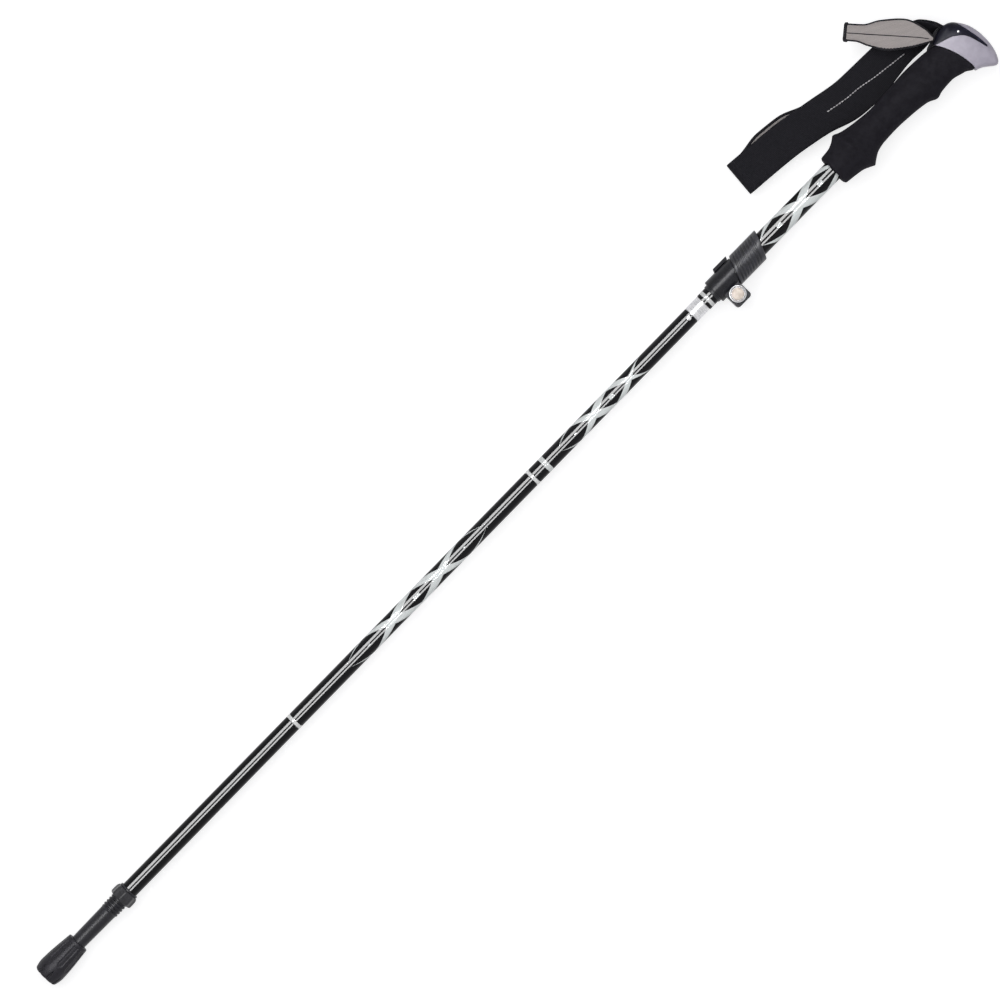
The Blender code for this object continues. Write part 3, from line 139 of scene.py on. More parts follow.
def node(tree, kind, inputs=None, **settings):
    """A new node. Each input given is linked if it is a socket, and otherwise set."""
    made = tree.nodes.new(kind)
    for key, value in settings.items():
        setattr(made, key, value)
    for key, value in (inputs or {}).items():
        if isinstance(value, bpy.types.NodeSocket):
            tree.links.new(value, made.inputs[key])
        else:
            made.inputs[key].default_value = value
    return made


def reckon(tree, operation, *values):
    """The output of a Math node on one, two or three sockets or numbers."""
    made = node(tree, "ShaderNodeMath", dict(enumerate(values)), operation=operation)
    return made.outputs[0]


def ramp(tree, value, low, high, start=0.0, end=1.0):
    """The value carried from low..high to start..end, with soft ends."""
    inputs = {"Value": value, "From Min": low, "From Max": high, "To Min": start, "To Max": end}
    made = node(tree, "ShaderNodeMapRange", inputs, interpolation_type="SMOOTHSTEP")
    return made.outputs["Result"]


def tint(tree, share, first, second):
    """The first colour, turning into the second as the share goes from 0 to 1."""
    made = node(tree, "ShaderNodeMix", {0: share, 6: first, 7: second}, data_type="RGBA")
    return made.outputs[2]


def effect(name, inputs, outputs):
    """An empty node group, with its own input and output nodes."""
    tree = bpy.data.node_groups.new(name, "ShaderNodeTree")
    for title, value in inputs.items():
        socket = tree.interface.new_socket(title, in_out="INPUT", socket_type="NodeSocketFloat")
        socket.default_value = value
    for title in outputs:
        tree.interface.new_socket(title, in_out="OUTPUT", socket_type="NodeSocketFloat")
    given = tree.nodes.new("NodeGroupInput").outputs
    result = tree.nodes.new("NodeGroupOutput").inputs
    return tree, given, result


# Grain of a moulded, turned or drawn surface: fine bumps and slow patches
grain_tree, given, result = effect(
    "surface_grain", {"Size": 2000.0, "Along": 1.0}, ("Grain", "Patches")
)
place = node(grain_tree, "ShaderNodeTexCoord").outputs["Object"]
stretch = node(grain_tree, "ShaderNodeCombineXYZ", {0: given["Along"], 1: 1.0, 2: 1.0})
place = node(
    grain_tree, "ShaderNodeVectorMath", {0: place, 1: stretch.outputs[0]}, operation="MULTIPLY"
).outputs[0]
fine = node(
    grain_tree, "ShaderNodeTexNoise", {"Vector": place, "Scale": given["Size"], "Detail": 3.0}
)
wide = reckon(grain_tree, "MULTIPLY", given["Size"], 0.11)
slow = node(grain_tree, "ShaderNodeTexNoise", {"Vector": place, "Scale": wide, "Detail": 2.0})
grain_tree.links.new(fine.outputs["Fac"], result["Grain"])
grain_tree.links.new(ramp(grain_tree, slow.outputs["Fac"], 0.32, 0.68), result["Patches"])

# Wear along edges that stick out, broken up so that it isn't an even line
wear_tree, given, result = effect("edge_wear", {"Low": 0.52, "High": 0.60}, ("Wear",))
edges = node(wear_tree, "ShaderNodeNewGeometry").outputs["Pointiness"]
edges = ramp(wear_tree, edges, given["Low"], given["High"])
place = node(wear_tree, "ShaderNodeTexCoord").outputs["Object"]
chips = node(wear_tree, "ShaderNodeTexNoise", {"Vector": place, "Scale": 900.0, "Detail": 4.0})
chips = ramp(wear_tree, chips.outputs["Fac"], 0.40, 0.62, 0.15, 1.0)
wear_tree.links.new(reckon(wear_tree, "MULTIPLY", edges, chips), result["Wear"])


def finish(name, dark, light, rough, size, along=1.0, bump=0.1, worn=None, **sockets):
    """A material that drifts between two colours and two roughnesses, with a fine grain."""
    material = bpy.data.materials.new(name)
    material.use_nodes = True
    tree = material.node_tree
    shader = tree.nodes["Principled BSDF"]
    grain = node(tree, "ShaderNodeGroup", node_tree=grain_tree)
    grain.inputs["Size"].default_value = size
    grain.inputs["Along"].default_value = along
    colour = tint(tree, grain.outputs["Patches"], (*dark, 1.0), (*light, 1.0))
    if worn:
        wear = node(tree, "ShaderNodeGroup", node_tree=wear_tree)
        colour = tint(tree, wear.outputs["Wear"], colour, (*worn, 1.0))
    rough = ramp(tree, grain.outputs["Grain"], 0.30, 0.70, *rough)
    relief = node(
        tree, "ShaderNodeBump",
        {"Strength": bump, "Distance": 0.0002, "Height": grain.outputs["Grain"]}, name="relief",
    )
    tree.links.new(colour, shader.inputs["Base Color"])
    tree.links.new(rough, shader.inputs["Roughness"])
    tree.links.new(relief.outputs["Normal"], shader.inputs["Normal"])
    for title, value in sockets.items():
        shader.inputs[title.replace("_", " ").title().replace("Ior", "IOR")].default_value = value
    return material


def raised(material, strength, distance, height):
    """Adds relief of a given height on top of the material's fine grain."""
    tree = material.node_tree
    grained = tree.nodes["relief"].outputs["Normal"]
    inputs = {"Strength": strength, "Distance": distance, "Height": height, "Normal": grained}
    bump = node(tree, "ShaderNodeBump", inputs)
    tree.links.new(bump.outputs["Normal"], tree.nodes["Principled BSDF"].inputs["Normal"])


BOOT_LENGTH = 0.0407
BOOT_SIDES = 192
BOOT_FLUTES = 8
FLUTE_TURN = math.radians(101)
NOTCH_DEPTH = 0.0013
NOTCH_HALF = 0.0014
PANEL_DEPTH = 0.00055
PANEL_FOOT = 0.0176
BOOT_WALL = (
    (0.0, 0.0096), (0.0007, 0.01065), (0.0022, 0.0113), (0.0090, 0.0124),
    (0.0160, 0.01215), (0.0392, 0.0100), (0.0402, 0.0099), (0.0407, 0.0095),
)


def boot_radius(x, turn):
    """Radius of the boot's outside, set in by its notches and its panels."""
    wall = through(BOOT_WALL, x)
    step = 2 * math.pi / BOOT_FLUTES
    apart = (turn - FLUTE_TURN + step / 2) % step - step / 2
    aside = abs(apart) * wall
    half = NOTCH_HALF * (1 - soft_step(0.0040, 0.0105, x))
    notch = 0.0
    if half > 0.0:
        notch = 1 - soft_step(0.35 * half, half + 0.0003, aside)
        notch *= 1 - soft_step(0.0080, 0.0108, x)
    reach = math.hypot(aside, max(PANEL_FOOT - x, 0.0))
    panel = 1 - soft_step(0.0019, 0.0026, reach)
    panel *= 1 - soft_step(0.0372, 0.0384, x)
    return wall - NOTCH_DEPTH * notch - PANEL_DEPTH * panel


boot_stations = [0.0, 0.0003, 0.0007, 0.0014, 0.0022]
boot_stations += [0.0022 + 0.0370 * i / 62 for i in range(1, 63)]
boot_stations += [0.0396, 0.0400, 0.0404, BOOT_LENGTH]
boot_rings = [circle(x, boot_radius, BOOT_SIDES) for x in boot_stations]
for x, radius in ((BOOT_LENGTH, 0.0073), (0.0400, 0.00705), (0.0340, 0.0069), (0.0120, 0.0047)):
    boot_rings.append(circle(x, radius, BOOT_SIDES))
boot = skin("boot_of_rubber", boot_rings, crease=50.0)
rubber = finish(
    "moulded_rubber", (0.006, 0.0055, 0.009), (0.012, 0.011, 0.017), (0.36, 0.56), 2600.0,
    bump=0.20, worn=(0.030, 0.029, 0.038), specular_ior_level=0.25,
)
fit(boot, "boot", "boot_rubber", rubber, "rubber_boot")


# Tip holder
# A nose and neck of black plastic, moulded in one with a coarse thread and a
# shoulder. Its plug is glued into the lowest tube and it grips the hard tip.

HOLDER_SIDES = 96
NOSE = 0.0120
TIP_BORE = 0.0028
TIP_BORE_END = 0.0203
THREAD_START = 0.0765
THREAD_PITCH = 0.0030
THREAD_ROOT = 0.00725
THREAD_HEIGHT = 0.00080
SHOULDER = 0.1018
SHOULDER_RADIUS = 0.0090
HOLDER_TOP = 0.1033
HOLDER_END = 0.1330
PLUG_RADIUS = 0.0065
KNOT_BORE = 0.0030
KNOT_BORE_DEPTH = 0.0110
NECK = ((NOSE, 0.0044), (BOOT_LENGTH, 0.00675), (THREAD_START, THREAD_ROOT))


def thread_radius(x, turn):
    """Radius of the thread, a rounded ridge that winds round the neck."""
    phase = ((x - THREAD_START) / THREAD_PITCH - turn / (2 * math.pi)) % 1.0
    ridge = soft_step(0.18, 0.62, 1 - abs(2 * phase - 1))
    room = min(x - THREAD_START, SHOULDER - x) / THREAD_PITCH
    return THREAD_ROOT + THREAD_HEIGHT * ridge * min(max(room, 0.0), 1.0)


holder_rings = [circle(x, TIP_BORE, HOLDER_SIDES) for x in (TIP_BORE_END, NOSE)]
for i in range(1, 24):
    x = NOSE + (THREAD_START - NOSE) * i / 24
    holder_rings.append(circle(x, through(NECK, x), HOLDER_SIDES))
for i in range(77):
    x = THREAD_START + (SHOULDER - THREAD_START) * i / 76
    holder_rings.append(circle(x, thread_radius, HOLDER_SIDES))
for x, radius in (
    (SHOULDER, SHOULDER_RADIUS - 0.0003), (SHOULDER + 0.0003, SHOULDER_RADIUS),
    (HOLDER_TOP - 0.0004, SHOULDER_RADIUS), (HOLDER_TOP, SHOULDER_RADIUS - 0.0004),
    (HOLDER_TOP, PLUG_RADIUS), (HOLDER_END, PLUG_RADIUS), (HOLDER_END, KNOT_BORE),
    (HOLDER_END - KNOT_BORE_DEPTH, KNOT_BORE),
):
    holder_rings.append(circle(x, radius, HOLDER_SIDES))
holder = skin("threaded_tip_holder", holder_rings)
black_plastic = finish(
    "black_moulded_plastic", (0.006, 0.006, 0.009), (0.012, 0.012, 0.018), (0.28, 0.44),
    2200.0, bump=0.12, worn=(0.040, 0.040, 0.050), specular_ior_level=0.3,
)
fit(holder, "section_5", "black_plastic", black_plastic, "tip_holder")


# Hard tip
# A rod of sintered carbide, pressed into the nose of the tip holder. It is
# ground grey and stays hidden in the boot.


def refinish(material, *names):
    """Gives a finish to solids that are shown as they are."""
    for name in names:
        frame["nodes"][name].material_slots[0].material = material


carbide = finish(
    "ground_carbide", (0.22, 0.22, 0.23), (0.34, 0.34, 0.35), (0.28, 0.42), 3000.0,
    along=0.2, bump=0.15, metallic=1.0,
)
refinish(carbide, "carbide_tip")


# Basket ring
# A lobed ring of black plastic, screwed up the thread as far as the shoulder. It
# has scallops for the fingers and eased edges at both ends.

BASKET_SIDES = 192
BASKET_START = 0.0914
BASKET_BORE = 0.0084
LOBES = 8
BASKET_RINGS = (
    (0.0, BASKET_BORE, 0.0), (0.0, 0.0098, 0.0002), (0.0003, 0.0104, 0.0004),
    (0.0010, 0.01085, 0.0007), (0.0018, 0.0110, 0.00085), (0.0040, 0.0110, 0.0010),
    (0.0065, 0.0109, 0.0010), (0.0084, 0.0106, 0.0009), (0.0094, 0.0101, 0.0007),
    (0.0100, 0.0095, 0.0003), (0.0101, 0.0090, 0.0), (0.0101, BASKET_BORE, 0.0),
)


def scalloped(x, radius, lobe):
    """A section of the ring, drawn in between its lobes."""

    def edge(_, turn):
        return radius - lobe * (0.5 - 0.5 * math.cos(LOBES * turn + 0.6)) ** 0.7

    return circle(BASKET_START + x, edge, BASKET_SIDES)


basket_rings = [scalloped(*row) for row in BASKET_RINGS]
basket = skin("lobed_basket_ring", basket_rings, closed=True, crease=40.0)
# The ring's plastic is a lighter copy of the black plastic: its lighter tone is a painted
# highlight on the facets, and its pale edges are partly wear, partly painted highlight.
basket_finish_worn_and_highlit = finish(
    "ring_plastic_worn_and_highlit", (0.008, 0.008, 0.011), (0.018, 0.018, 0.023), (0.24, 0.42),
    2400.0, bump=0.16, worn=(0.075, 0.075, 0.085), specular_ior_level=0.4,
)
fit(basket, "basket", "black_plastic", basket_finish_worn_and_highlit, "basket_ring")


# Folding tubes
# Drawn aluminium tubes in gloss black enamel. A lattice of white bands is printed
# on the two upper ones and tapers to points at both ends.

TUBE_SIDES = 128
LOWER_RADIUS = 0.0075
LOWER_WALL = 0.0007
GAP = 0.0003
COLLAR_5 = 0.3024
COLLAR_4 = 0.5927
COLLAR_3 = 0.7872
COLLAR_LENGTH = 0.0031


def eased(outline, ease):
    """A closed outline with each of its corners rounded a little."""
    points = []
    count = len(outline)
    for i in range(count):
        here = Vector(outline[i])
        before = Vector(outline[i - 1]) - here
        after = Vector(outline[(i + 1) % count]) - here
        first = here + before.normalized() * min(ease, 0.45 * before.length)
        second = here + after.normalized() * min(ease, 0.45 * after.length)
        for s in (0.0, 0.33, 0.67, 1.0):
            points.append(tuple(first * (1 - s) ** 2 + here * 2 * s * (1 - s) + second * s * s))
    return points


def turned(name, outline, ease=0.0002):
    """A turned piece: an outline of (station, radius), carried round the pole's axis."""
    rings = [circle(x, radius, TUBE_SIDES) for x, radius in eased(outline, ease)]
    return skin(name, rings, closed=True, crease=45.0)


def tube(name, start, end, radius=LOWER_RADIUS, wall=LOWER_WALL):
    """A plain tube, open at both ends."""
    bore = radius - wall
    return turned(name, [(start, bore), (end, bore), (end, radius), (start, radius)])


# Printed lattice: bands that wind both ways round the tube, and a pip in each gap
print_tree, given, result = effect(
    "lattice_print",
    {"Start": 0.0, "End": 0.1, "Pitch": 0.040, "Width": 0.15, "Taper": 0.045}, ("Ink",),
)
place = node(print_tree, "ShaderNodeTexCoord").outputs["Object"]
spot = node(print_tree, "ShaderNodeSeparateXYZ", {0: place}).outputs
around = reckon(print_tree, "ARCTAN2", spot[2], spot[1])
around = reckon(print_tree, "MULTIPLY", around, 1 / math.pi)
along = reckon(print_tree, "SUBTRACT", spot[0], given["Start"])
room = reckon(print_tree, "MINIMUM", along, reckon(print_tree, "SUBTRACT", given["End"], spot[0]))
share = ramp(print_tree, reckon(print_tree, "DIVIDE", room, given["Taper"]), 0.0, 1.0)
width = reckon(print_tree, "MULTIPLY", given["Width"], share)
turns = reckon(print_tree, "DIVIDE", along, given["Pitch"])
left = reckon(print_tree, "FRACT", reckon(print_tree, "ADD", turns, around))
right = reckon(print_tree, "FRACT", reckon(print_tree, "SUBTRACT", turns, around))
left = reckon(print_tree, "ABSOLUTE", reckon(print_tree, "SUBTRACT", left, 0.5))
right = reckon(print_tree, "ABSOLUTE", reckon(print_tree, "SUBTRACT", right, 0.5))
bands = reckon(print_tree, "SUBTRACT", width, reckon(print_tree, "MINIMUM", left, right))
bands = ramp(print_tree, bands, -0.002, 0.004)
middle = reckon(print_tree, "SUBTRACT", 1.0, reckon(print_tree, "ADD", left, right))
pips = reckon(print_tree, "SUBTRACT", reckon(print_tree, "MULTIPLY", width, 0.8), middle)
pips = ramp(print_tree, pips, -0.003, 0.003)
ink = reckon(print_tree, "MAXIMUM", bands, pips)
ends = ramp(print_tree, room, 0.0, 0.002)
print_tree.links.new(reckon(print_tree, "MULTIPLY", ink, ends), result["Ink"])


def enamel(name):
    """Gloss black enamel on a drawn tube."""
    return finish(
        name, (0.0025, 0.0025, 0.0035), (0.0055, 0.0055, 0.0075), (0.05, 0.10), 260.0,
        along=0.08, bump=0.01, specular_ior_level=0.12,
    )


def inked(material, ink, colour):
    """Lays ink of one colour over what the material shows."""
    tree = material.node_tree
    base = tree.nodes["Principled BSDF"].inputs["Base Color"]
    below = base.links[0].from_socket
    tree.links.new(tint(tree, ink, below, (*colour, 1.0)), base)


PRINT_WHITE = (0.88, 0.92, 0.92)


def printed(material, start, end, pitch, width, taper):
    """Prints the lattice over the enamel between two stations."""
    lattice = node(material.node_tree, "ShaderNodeGroup", node_tree=print_tree)
    values = {"Start": start, "End": end, "Pitch": pitch, "Width": width, "Taper": taper}
    for title, value in values.items():
        lattice.inputs[title].default_value = value
    inked(material, lattice.outputs["Ink"], PRINT_WHITE)


def station_in(tree):
    """The station along the pole, as a socket."""
    place = node(tree, "ShaderNodeTexCoord").outputs["Object"]
    return node(tree, "ShaderNodeSeparateXYZ", {0: place}).outputs[0]


def banded(material, start, end, colour):
    """Paints a plain ring round the tube between two stations."""
    tree = material.node_tree
    station = station_in(tree)
    low = ramp(tree, station, start - 0.00005, start + 0.00005)
    high = ramp(tree, station, end - 0.00005, end + 0.00005, 1.0, 0.0)
    inked(material, reckon(tree, "MULTIPLY", low, high), colour)


enamel_5 = enamel("enamel_of_section_5")
section_5_tube = tube("enamelled_tube_5", HOLDER_TOP + GAP, COLLAR_5 - GAP)
fit(section_5_tube, "section_5", "shaft_paint", enamel_5, "section_5_tube")

enamel_4 = enamel("enamel_of_section_4")
printed(enamel_4, 0.366, 0.540, 0.058, 0.155, 0.070)
section_4_tube = tube("enamelled_tube_4", COLLAR_5 + COLLAR_LENGTH + GAP, COLLAR_4 - GAP)
fit(section_4_tube, "section_4", "shaft_paint", enamel_4, "section_4_tube")

enamel_3 = enamel("enamel_of_section_3")
printed(enamel_3, 0.624, 0.738, 0.044, 0.155, 0.048)
banded(enamel_3, 0.6076, 0.6122, (0.80, 0.83, 0.83))
section_3_tube = tube("enamelled_tube_3", COLLAR_4 + COLLAR_LENGTH + GAP, COLLAR_3 - GAP)


# Snap button
# A steel button that stands through a hole in the tube and in the ferrule behind
# it. A leaf spring of blued steel carries it.

BUTTON_AT = COLLAR_3 - 0.0037
BUTTON_RADIUS = 0.00225
BUTTON_ROUND = 0.0010
BUTTON_FOOT = 0.0037
BUTTON_TOP = 0.0090
BUTTON_HOLE = ((0.002, 0.0024), (0.012, 0.0024))


def carve(piece, other, operation="DIFFERENCE"):
    """Cuts another solid out of the piece, or joins or crosses the two, and removes it."""
    change = piece.modifiers.new("carve", "BOOLEAN")
    change.operation = operation
    change.solver = "EXACT"
    change.object = other
    bpy.context.view_layer.update()
    graph = bpy.context.evaluated_depsgraph_get()
    mesh = bpy.data.meshes.new_from_object(piece.evaluated_get(graph))
    piece.modifiers.clear()
    piece.data = mesh
    bpy.data.objects.remove(other)
    mesh.set_sharp_from_angle(angle=math.radians(35))


def upright(name, x, y, outline, sides=64):
    """A turned piece that stands upright: (height, radius) about a point (x, y)."""
    rings = []
    for z, radius in outline:
        rings.append([(x + across, y + up, z) for _, across, up in circle(0.0, radius, sides)])
    return skin(name, rings)


carve(section_3_tube, upright("button_hole", BUTTON_AT, 0.0, BUTTON_HOLE))
fit(section_3_tube, "section_3", "shaft_paint", enamel_3, "section_3_tube")
button_outline = [(BUTTON_FOOT, BUTTON_RADIUS), (BUTTON_TOP - BUTTON_ROUND, BUTTON_RADIUS)]
for a in (0.3, 0.6, 0.9, 1.2, 1.5):
    height = BUTTON_TOP - BUTTON_ROUND * (1 - math.sin(a))
    button_outline.append((height, BUTTON_RADIUS - BUTTON_ROUND * (1 - math.cos(a))))
button_outline.append((BUTTON_TOP, 0.0006))
button = upright("steel_snap_button", BUTTON_AT, 0.0, button_outline)
polished_steel = finish(
    "polished_steel", (0.58, 0.58, 0.59), (0.68, 0.68, 0.69), (0.14, 0.26), 1800.0,
    bump=0.03, metallic=1.0,
)
fit(button, "button", "steel", polished_steel, "snap_button")
spring_steel = finish(
    "spring_steel", (0.40, 0.41, 0.43), (0.52, 0.53, 0.55), (0.20, 0.34), 1500.0,
    along=0.3, bump=0.05, metallic=1.0,
)
refinish(spring_steel, "snap_clip", "tension_spring")


# Ferrules and guides
# Short aluminium plugs that join the folding tubes. Two have a white enamelled
# collar. The third has a bright turned collar and holds the snap button.

PLUG_LENGTH = 0.0300
SPIGOT_LENGTH = 0.0280
FERRULE_BORE = 0.0050
COLLAR_RADIUS = 0.0077
INNER_SPIGOT = 0.0069
SILVER_LENGTH = 0.0142


def ferrule(name, collar, collar_length, spigot):
    """Plug, collar and spigot in one, bored for the cord."""
    foot = collar - PLUG_LENGTH
    top = collar + collar_length
    end = top + SPIGOT_LENGTH
    return turned(
        name,
        [
            (foot, FERRULE_BORE), (end, FERRULE_BORE), (end, spigot), (top, spigot),
            (top, COLLAR_RADIUS), (collar, COLLAR_RADIUS), (collar, PLUG_RADIUS),
            (foot, PLUG_RADIUS),
        ],
    )


bright_aluminium = finish(
    "turned_aluminium", (0.50, 0.50, 0.52), (0.66, 0.66, 0.67), (0.20, 0.34), 1400.0,
    along=6.0, bump=0.05, metallic=1.0,
)
for section, collar in (("section_5", COLLAR_5), ("section_4", COLLAR_4)):
    paint = finish(
        f"white_collar_of_{section}", (0.82, 0.83, 0.83), (0.90, 0.91, 0.91),
        (0.16, 0.26), 900.0, bump=0.03, worn=(0.74, 0.74, 0.75), coat_weight=0.6,
    )
    tree = paint.node_tree
    station = station_in(tree)
    top = collar + COLLAR_LENGTH
    painted_from = ramp(tree, station, collar - 0.0001, collar)
    painted_to = ramp(tree, station, top, top + 0.0001, 1.0, 0.0)
    bare = reckon(tree, "SUBTRACT", 1.0, reckon(tree, "MULTIPLY", painted_from, painted_to))
    tree.links.new(bare, tree.nodes["Principled BSDF"].inputs["Metallic"])
    piece = ferrule(f"collared_ferrule_{section[-1]}", collar, COLLAR_LENGTH, PLUG_RADIUS)
    fit(piece, section, "white_collar", paint, f"{section}_ferrule")
silver_ferrule = ferrule("bright_ferrule_3", COLLAR_3, SILVER_LENGTH, INNER_SPIGOT)
carve(silver_ferrule, upright("plug_hole", BUTTON_AT, 0.0, BUTTON_HOLE))
fit(silver_ferrule, "section_3", "bright_aluminium", bright_aluminium, "section_3_ferrule")
refinish(black_plastic, "section_5_guide", "section_4_guide", "section_3_guide")


# Telescoping tube, with its bush and bulkhead
# A drawn tube in black enamel that slides in the upper tube. A plastic bush
# guides its top, and a pressed-in wall of aluminium carries the tension spring.

INNER_START = COLLAR_3 + SILVER_LENGTH + GAP
INNER_END = 1.0520
INNER_RADIUS = 0.0080
UPPER_WALL = 0.0008

enamel_inner = enamel("enamel_of_inner_tube")
banded(enamel_inner, 0.8045, 0.8078, (0.78, 0.79, 0.79))
inner_tube = tube("telescoping_tube", INNER_START, INNER_END, INNER_RADIUS, UPPER_WALL)
fit(inner_tube, "inner", "shaft_paint", enamel_inner, "inner_tube")
refinish(black_plastic, "inner_tube_bush")
refinish(bright_aluminium, "cord_bulkhead", "cord_anchor", "cord_stop")


# Tension cord
# A cord of braided black yarn that runs inside all the folding tubes, held taut
# by the spring. It never leaves the tubes.

braid = finish(
    "braided_yarn", (0.014, 0.014, 0.015), (0.060, 0.060, 0.064), (0.70, 0.90), 2600.0,
    along=0.5, bump=0.5, sheen_weight=0.2,
)
refinish(braid, "tension_cord")


# Upper tube and its end bush
# The widest tube, slit at its foot so that the clamp can close it. The lattice
# fills it between clamp and grip. A plastic bush stands before its mouth.

UPPER_START = 0.8180
HEAD_AT = 1.100
UPPER_RADIUS = 0.0090
SLIT_HALF = 0.0008
BUSH_START = 0.8113
BUSH_BORE = 0.0081
BUSH_RADIUS = 0.0088

enamel_upper = enamel("enamel_of_upper_tube")
printed(enamel_upper, 0.868, 0.972, 0.050, 0.150, 0.030)
upper_tube = tube("enamelled_upper_tube", UPPER_START, HEAD_AT, UPPER_RADIUS, UPPER_WALL)


def block(name, outline, low, high):
    """An upright block on an outline of (x, y)."""
    return skin(name, [[(x, y, z) for x, y in outline] for z in (low, high)])


def oblong(start, end, low, high):
    """Four corners, from start to end along the pole and from low to high across it."""
    return ((start, low), (end, low), (end, high), (start, high))


slit = oblong(0.810, 0.842, -0.012, 0.012)
carve(upper_tube, block("tube_slit", slit, -SLIT_HALF, SLIT_HALF))
fit(upper_tube, "handle", "shaft_paint", enamel_upper, "upper_tube")
end_bush = turned(
    "mouth_bush", oblong(BUSH_START, UPPER_START - GAP, BUSH_BORE, BUSH_RADIUS), ease=0.0003,
)
fit(end_bush, "handle", "black_plastic", black_plastic, "tube_end_bush")


# Lever clamp
# Moulded in black plastic: a split band with a lug for the bolt, a ribbed sleeve
# over the tube, cut on the same slant, and a lever that wraps under the band.

BOLT_AT = 0.8270
BOLT_Y = -0.0155
SLEEVE_AT = 0.8393
SLEEVE_END = 0.8710
SLANT = 0.41
CLAMP_BORE = 0.0093
SLEEVE_RADIUS = 0.01235
RIBS = 8
RIBBED_LENGTH = 0.0252
GROOVE_DEPTH = 0.00090


def slanted(x, radius):
    """A circle whose stations rise towards +Y, along the clamp's slant."""
    return [(x + SLANT * y, y, z) for x, y, z in circle(x, radius, TUBE_SIDES)]


def arc(first, second, radius, start, sweep, steps):
    """Points on an arc about a middle (first, second), with its angles in degrees."""
    turns = [math.radians(start + sweep * i / steps) for i in range(steps + 1)]
    return [(first + radius * math.cos(a), second + radius * math.sin(a)) for a in turns]


def round_edges(piece, width, degrees=40.0):
    """Rounds the sharp edges of a moulded piece."""
    edge = piece.modifiers.new("rounded edges", "BEVEL")
    edge.width = width
    edge.segments = 3
    edge.limit_method = "ANGLE"
    edge.angle_limit = math.radians(degrees)
    edge.harden_normals = True


def ribbed_ring(x, groove):
    """A section of the sleeve. Its grooves run out towards the two sides."""
    ring = []
    for spot_x, y, z in slanted(x, SLEEVE_RADIUS):
        face = soft_step(0.25, 0.70, abs(z) / SLEEVE_RADIUS)
        keep = 1 - GROOVE_DEPTH * groove * face / SLEEVE_RADIUS
        ring.append((spot_x, y * keep, z * keep))
    return ring


SLEEVE_FOOT = (
    (0.0, CLAMP_BORE), (0.0, 0.0103), (0.0002, 0.0105), (0.0006, 0.0105), (0.0007, 0.0120),
    (0.0010, 0.0123), (0.0014, SLEEVE_RADIUS),
)
SLEEVE_RIM = (
    (-0.0030, SLEEVE_RADIUS), (-0.0006, SLEEVE_RADIUS), (-0.0002, 0.0121), (0.0, 0.0117),
    (0.0, CLAMP_BORE),
)
sleeve_rings = [slanted(SLEEVE_AT + x, radius) for x, radius in SLEEVE_FOOT]
rib_pitch = RIBBED_LENGTH / RIBS
for i in range(RIBS * 12 + 1):
    groove = soft_step(0.35, 0.80, 0.5 - 0.5 * math.cos(2 * math.pi * i / 12))
    sleeve_rings.append(ribbed_ring(SLEEVE_AT + 0.0026 + rib_pitch * i / 12, groove))
sleeve_rings += [slanted(SLEEVE_END + x, radius) for x, radius in SLEEVE_RIM]
sleeve = skin("ribbed_clamp_sleeve", sleeve_rings, closed=True, crease=50.0)
# The sleeve's plastic is a lighter, bluish copy of the clamp's black plastic: its tone is a
# painted highlight on the ribs, and its pale rib crests are partly wear, partly painted highlight.
highlit_sleeve_finish = finish(
    "sleeve_black_plastic_painted_highlight", (0.008, 0.008, 0.012), (0.018, 0.018, 0.027), (0.30, 0.44),
    1900.0, bump=0.20, worn=(0.050, 0.050, 0.066), specular_ior_level=0.50,
)
fit(sleeve, "handle", "black_plastic", highlit_sleeve_finish, "clamp_sleeve")
clamp_plastic = finish(
    "sparked_clamp_plastic", (0.006, 0.006, 0.009), (0.011, 0.011, 0.016), (0.20, 0.34),
    1900.0, bump=0.20, worn=(0.026, 0.026, 0.034), specular_ior_level=0.25,
)

BAND_AT = 0.8141
BAND_RADIUS = 0.0112
BAND_FOOT = ((0.0, 0.0104), (0.0002, 0.0109), (0.0007, BAND_RADIUS), (0.0014, BAND_RADIUS))
BAND_END = SLEEVE_AT - GAP
BAND_REACH = 0.0130
BAND_INSIDE = (BAND_AT - 0.005, SLEEVE_AT + 0.010)
LUG_HALF = 0.0083
LUG_CORNER = 0.0030
LUG_REACH = 0.0092
LUG_BOTTOM = -0.0070
LUG_TOP = 0.0076
SPLIT_HALF = 0.0010

band_rings = [circle(BAND_AT + x, radius, TUBE_SIDES) for x, radius in BAND_FOOT]
band = skin("split_clamp_band", band_rings + [slanted(0.8400, BAND_RADIUS)])
lug_outline = []
for side, start in ((-1, 180), (1, 270)):
    x = BOLT_AT + side * (LUG_HALF - LUG_CORNER)
    lug_outline += arc(x, BOLT_Y - LUG_REACH + LUG_CORNER, LUG_CORNER, start, 90, 12)
lug_outline += [(BOLT_AT + LUG_HALF, -0.0040), (BOLT_AT - LUG_HALF, -0.0040)]
carve(band, block("clamp_lug", lug_outline, LUG_BOTTOM, LUG_TOP), "UNION")
beyond = (
    (BAND_END - SLANT * BAND_REACH, -BAND_REACH), (SLEEVE_END, -BAND_REACH),
    (SLEEVE_END, BAND_REACH), (BAND_END + SLANT * BAND_REACH, BAND_REACH),
)
carve(band, block("beyond_slant", beyond, -0.020, 0.020))
carve(band, skin("clamp_bore", [circle(x, CLAMP_BORE, TUBE_SIDES) for x in BAND_INSIDE]))
split = oblong(*BAND_INSIDE, -0.030, -0.002)
carve(band, block("clamp_split", split, -SPLIT_HALF, SPLIT_HALF))
bolt_hole = ((-0.020, 0.0023), (0.020, 0.0023))
carve(band, upright("clamp_bolt_hole", BOLT_AT, BOLT_Y, bolt_hole, 48))
round_edges(band, 0.0003)
fit(band, "handle", "black_plastic", clamp_plastic, "clamp_band")

LEVER_PIN_Z = -0.0120
LEVER_EYE = 0.0046
LEVER_BORE = 0.00255
LEVER_OUTSIDE = 0.0144
LEVER_INSIDE = 0.0118
LEVER_HALF = 0.00775
LEVER_SLANT = 0.35
FORK_HALF = 0.0031

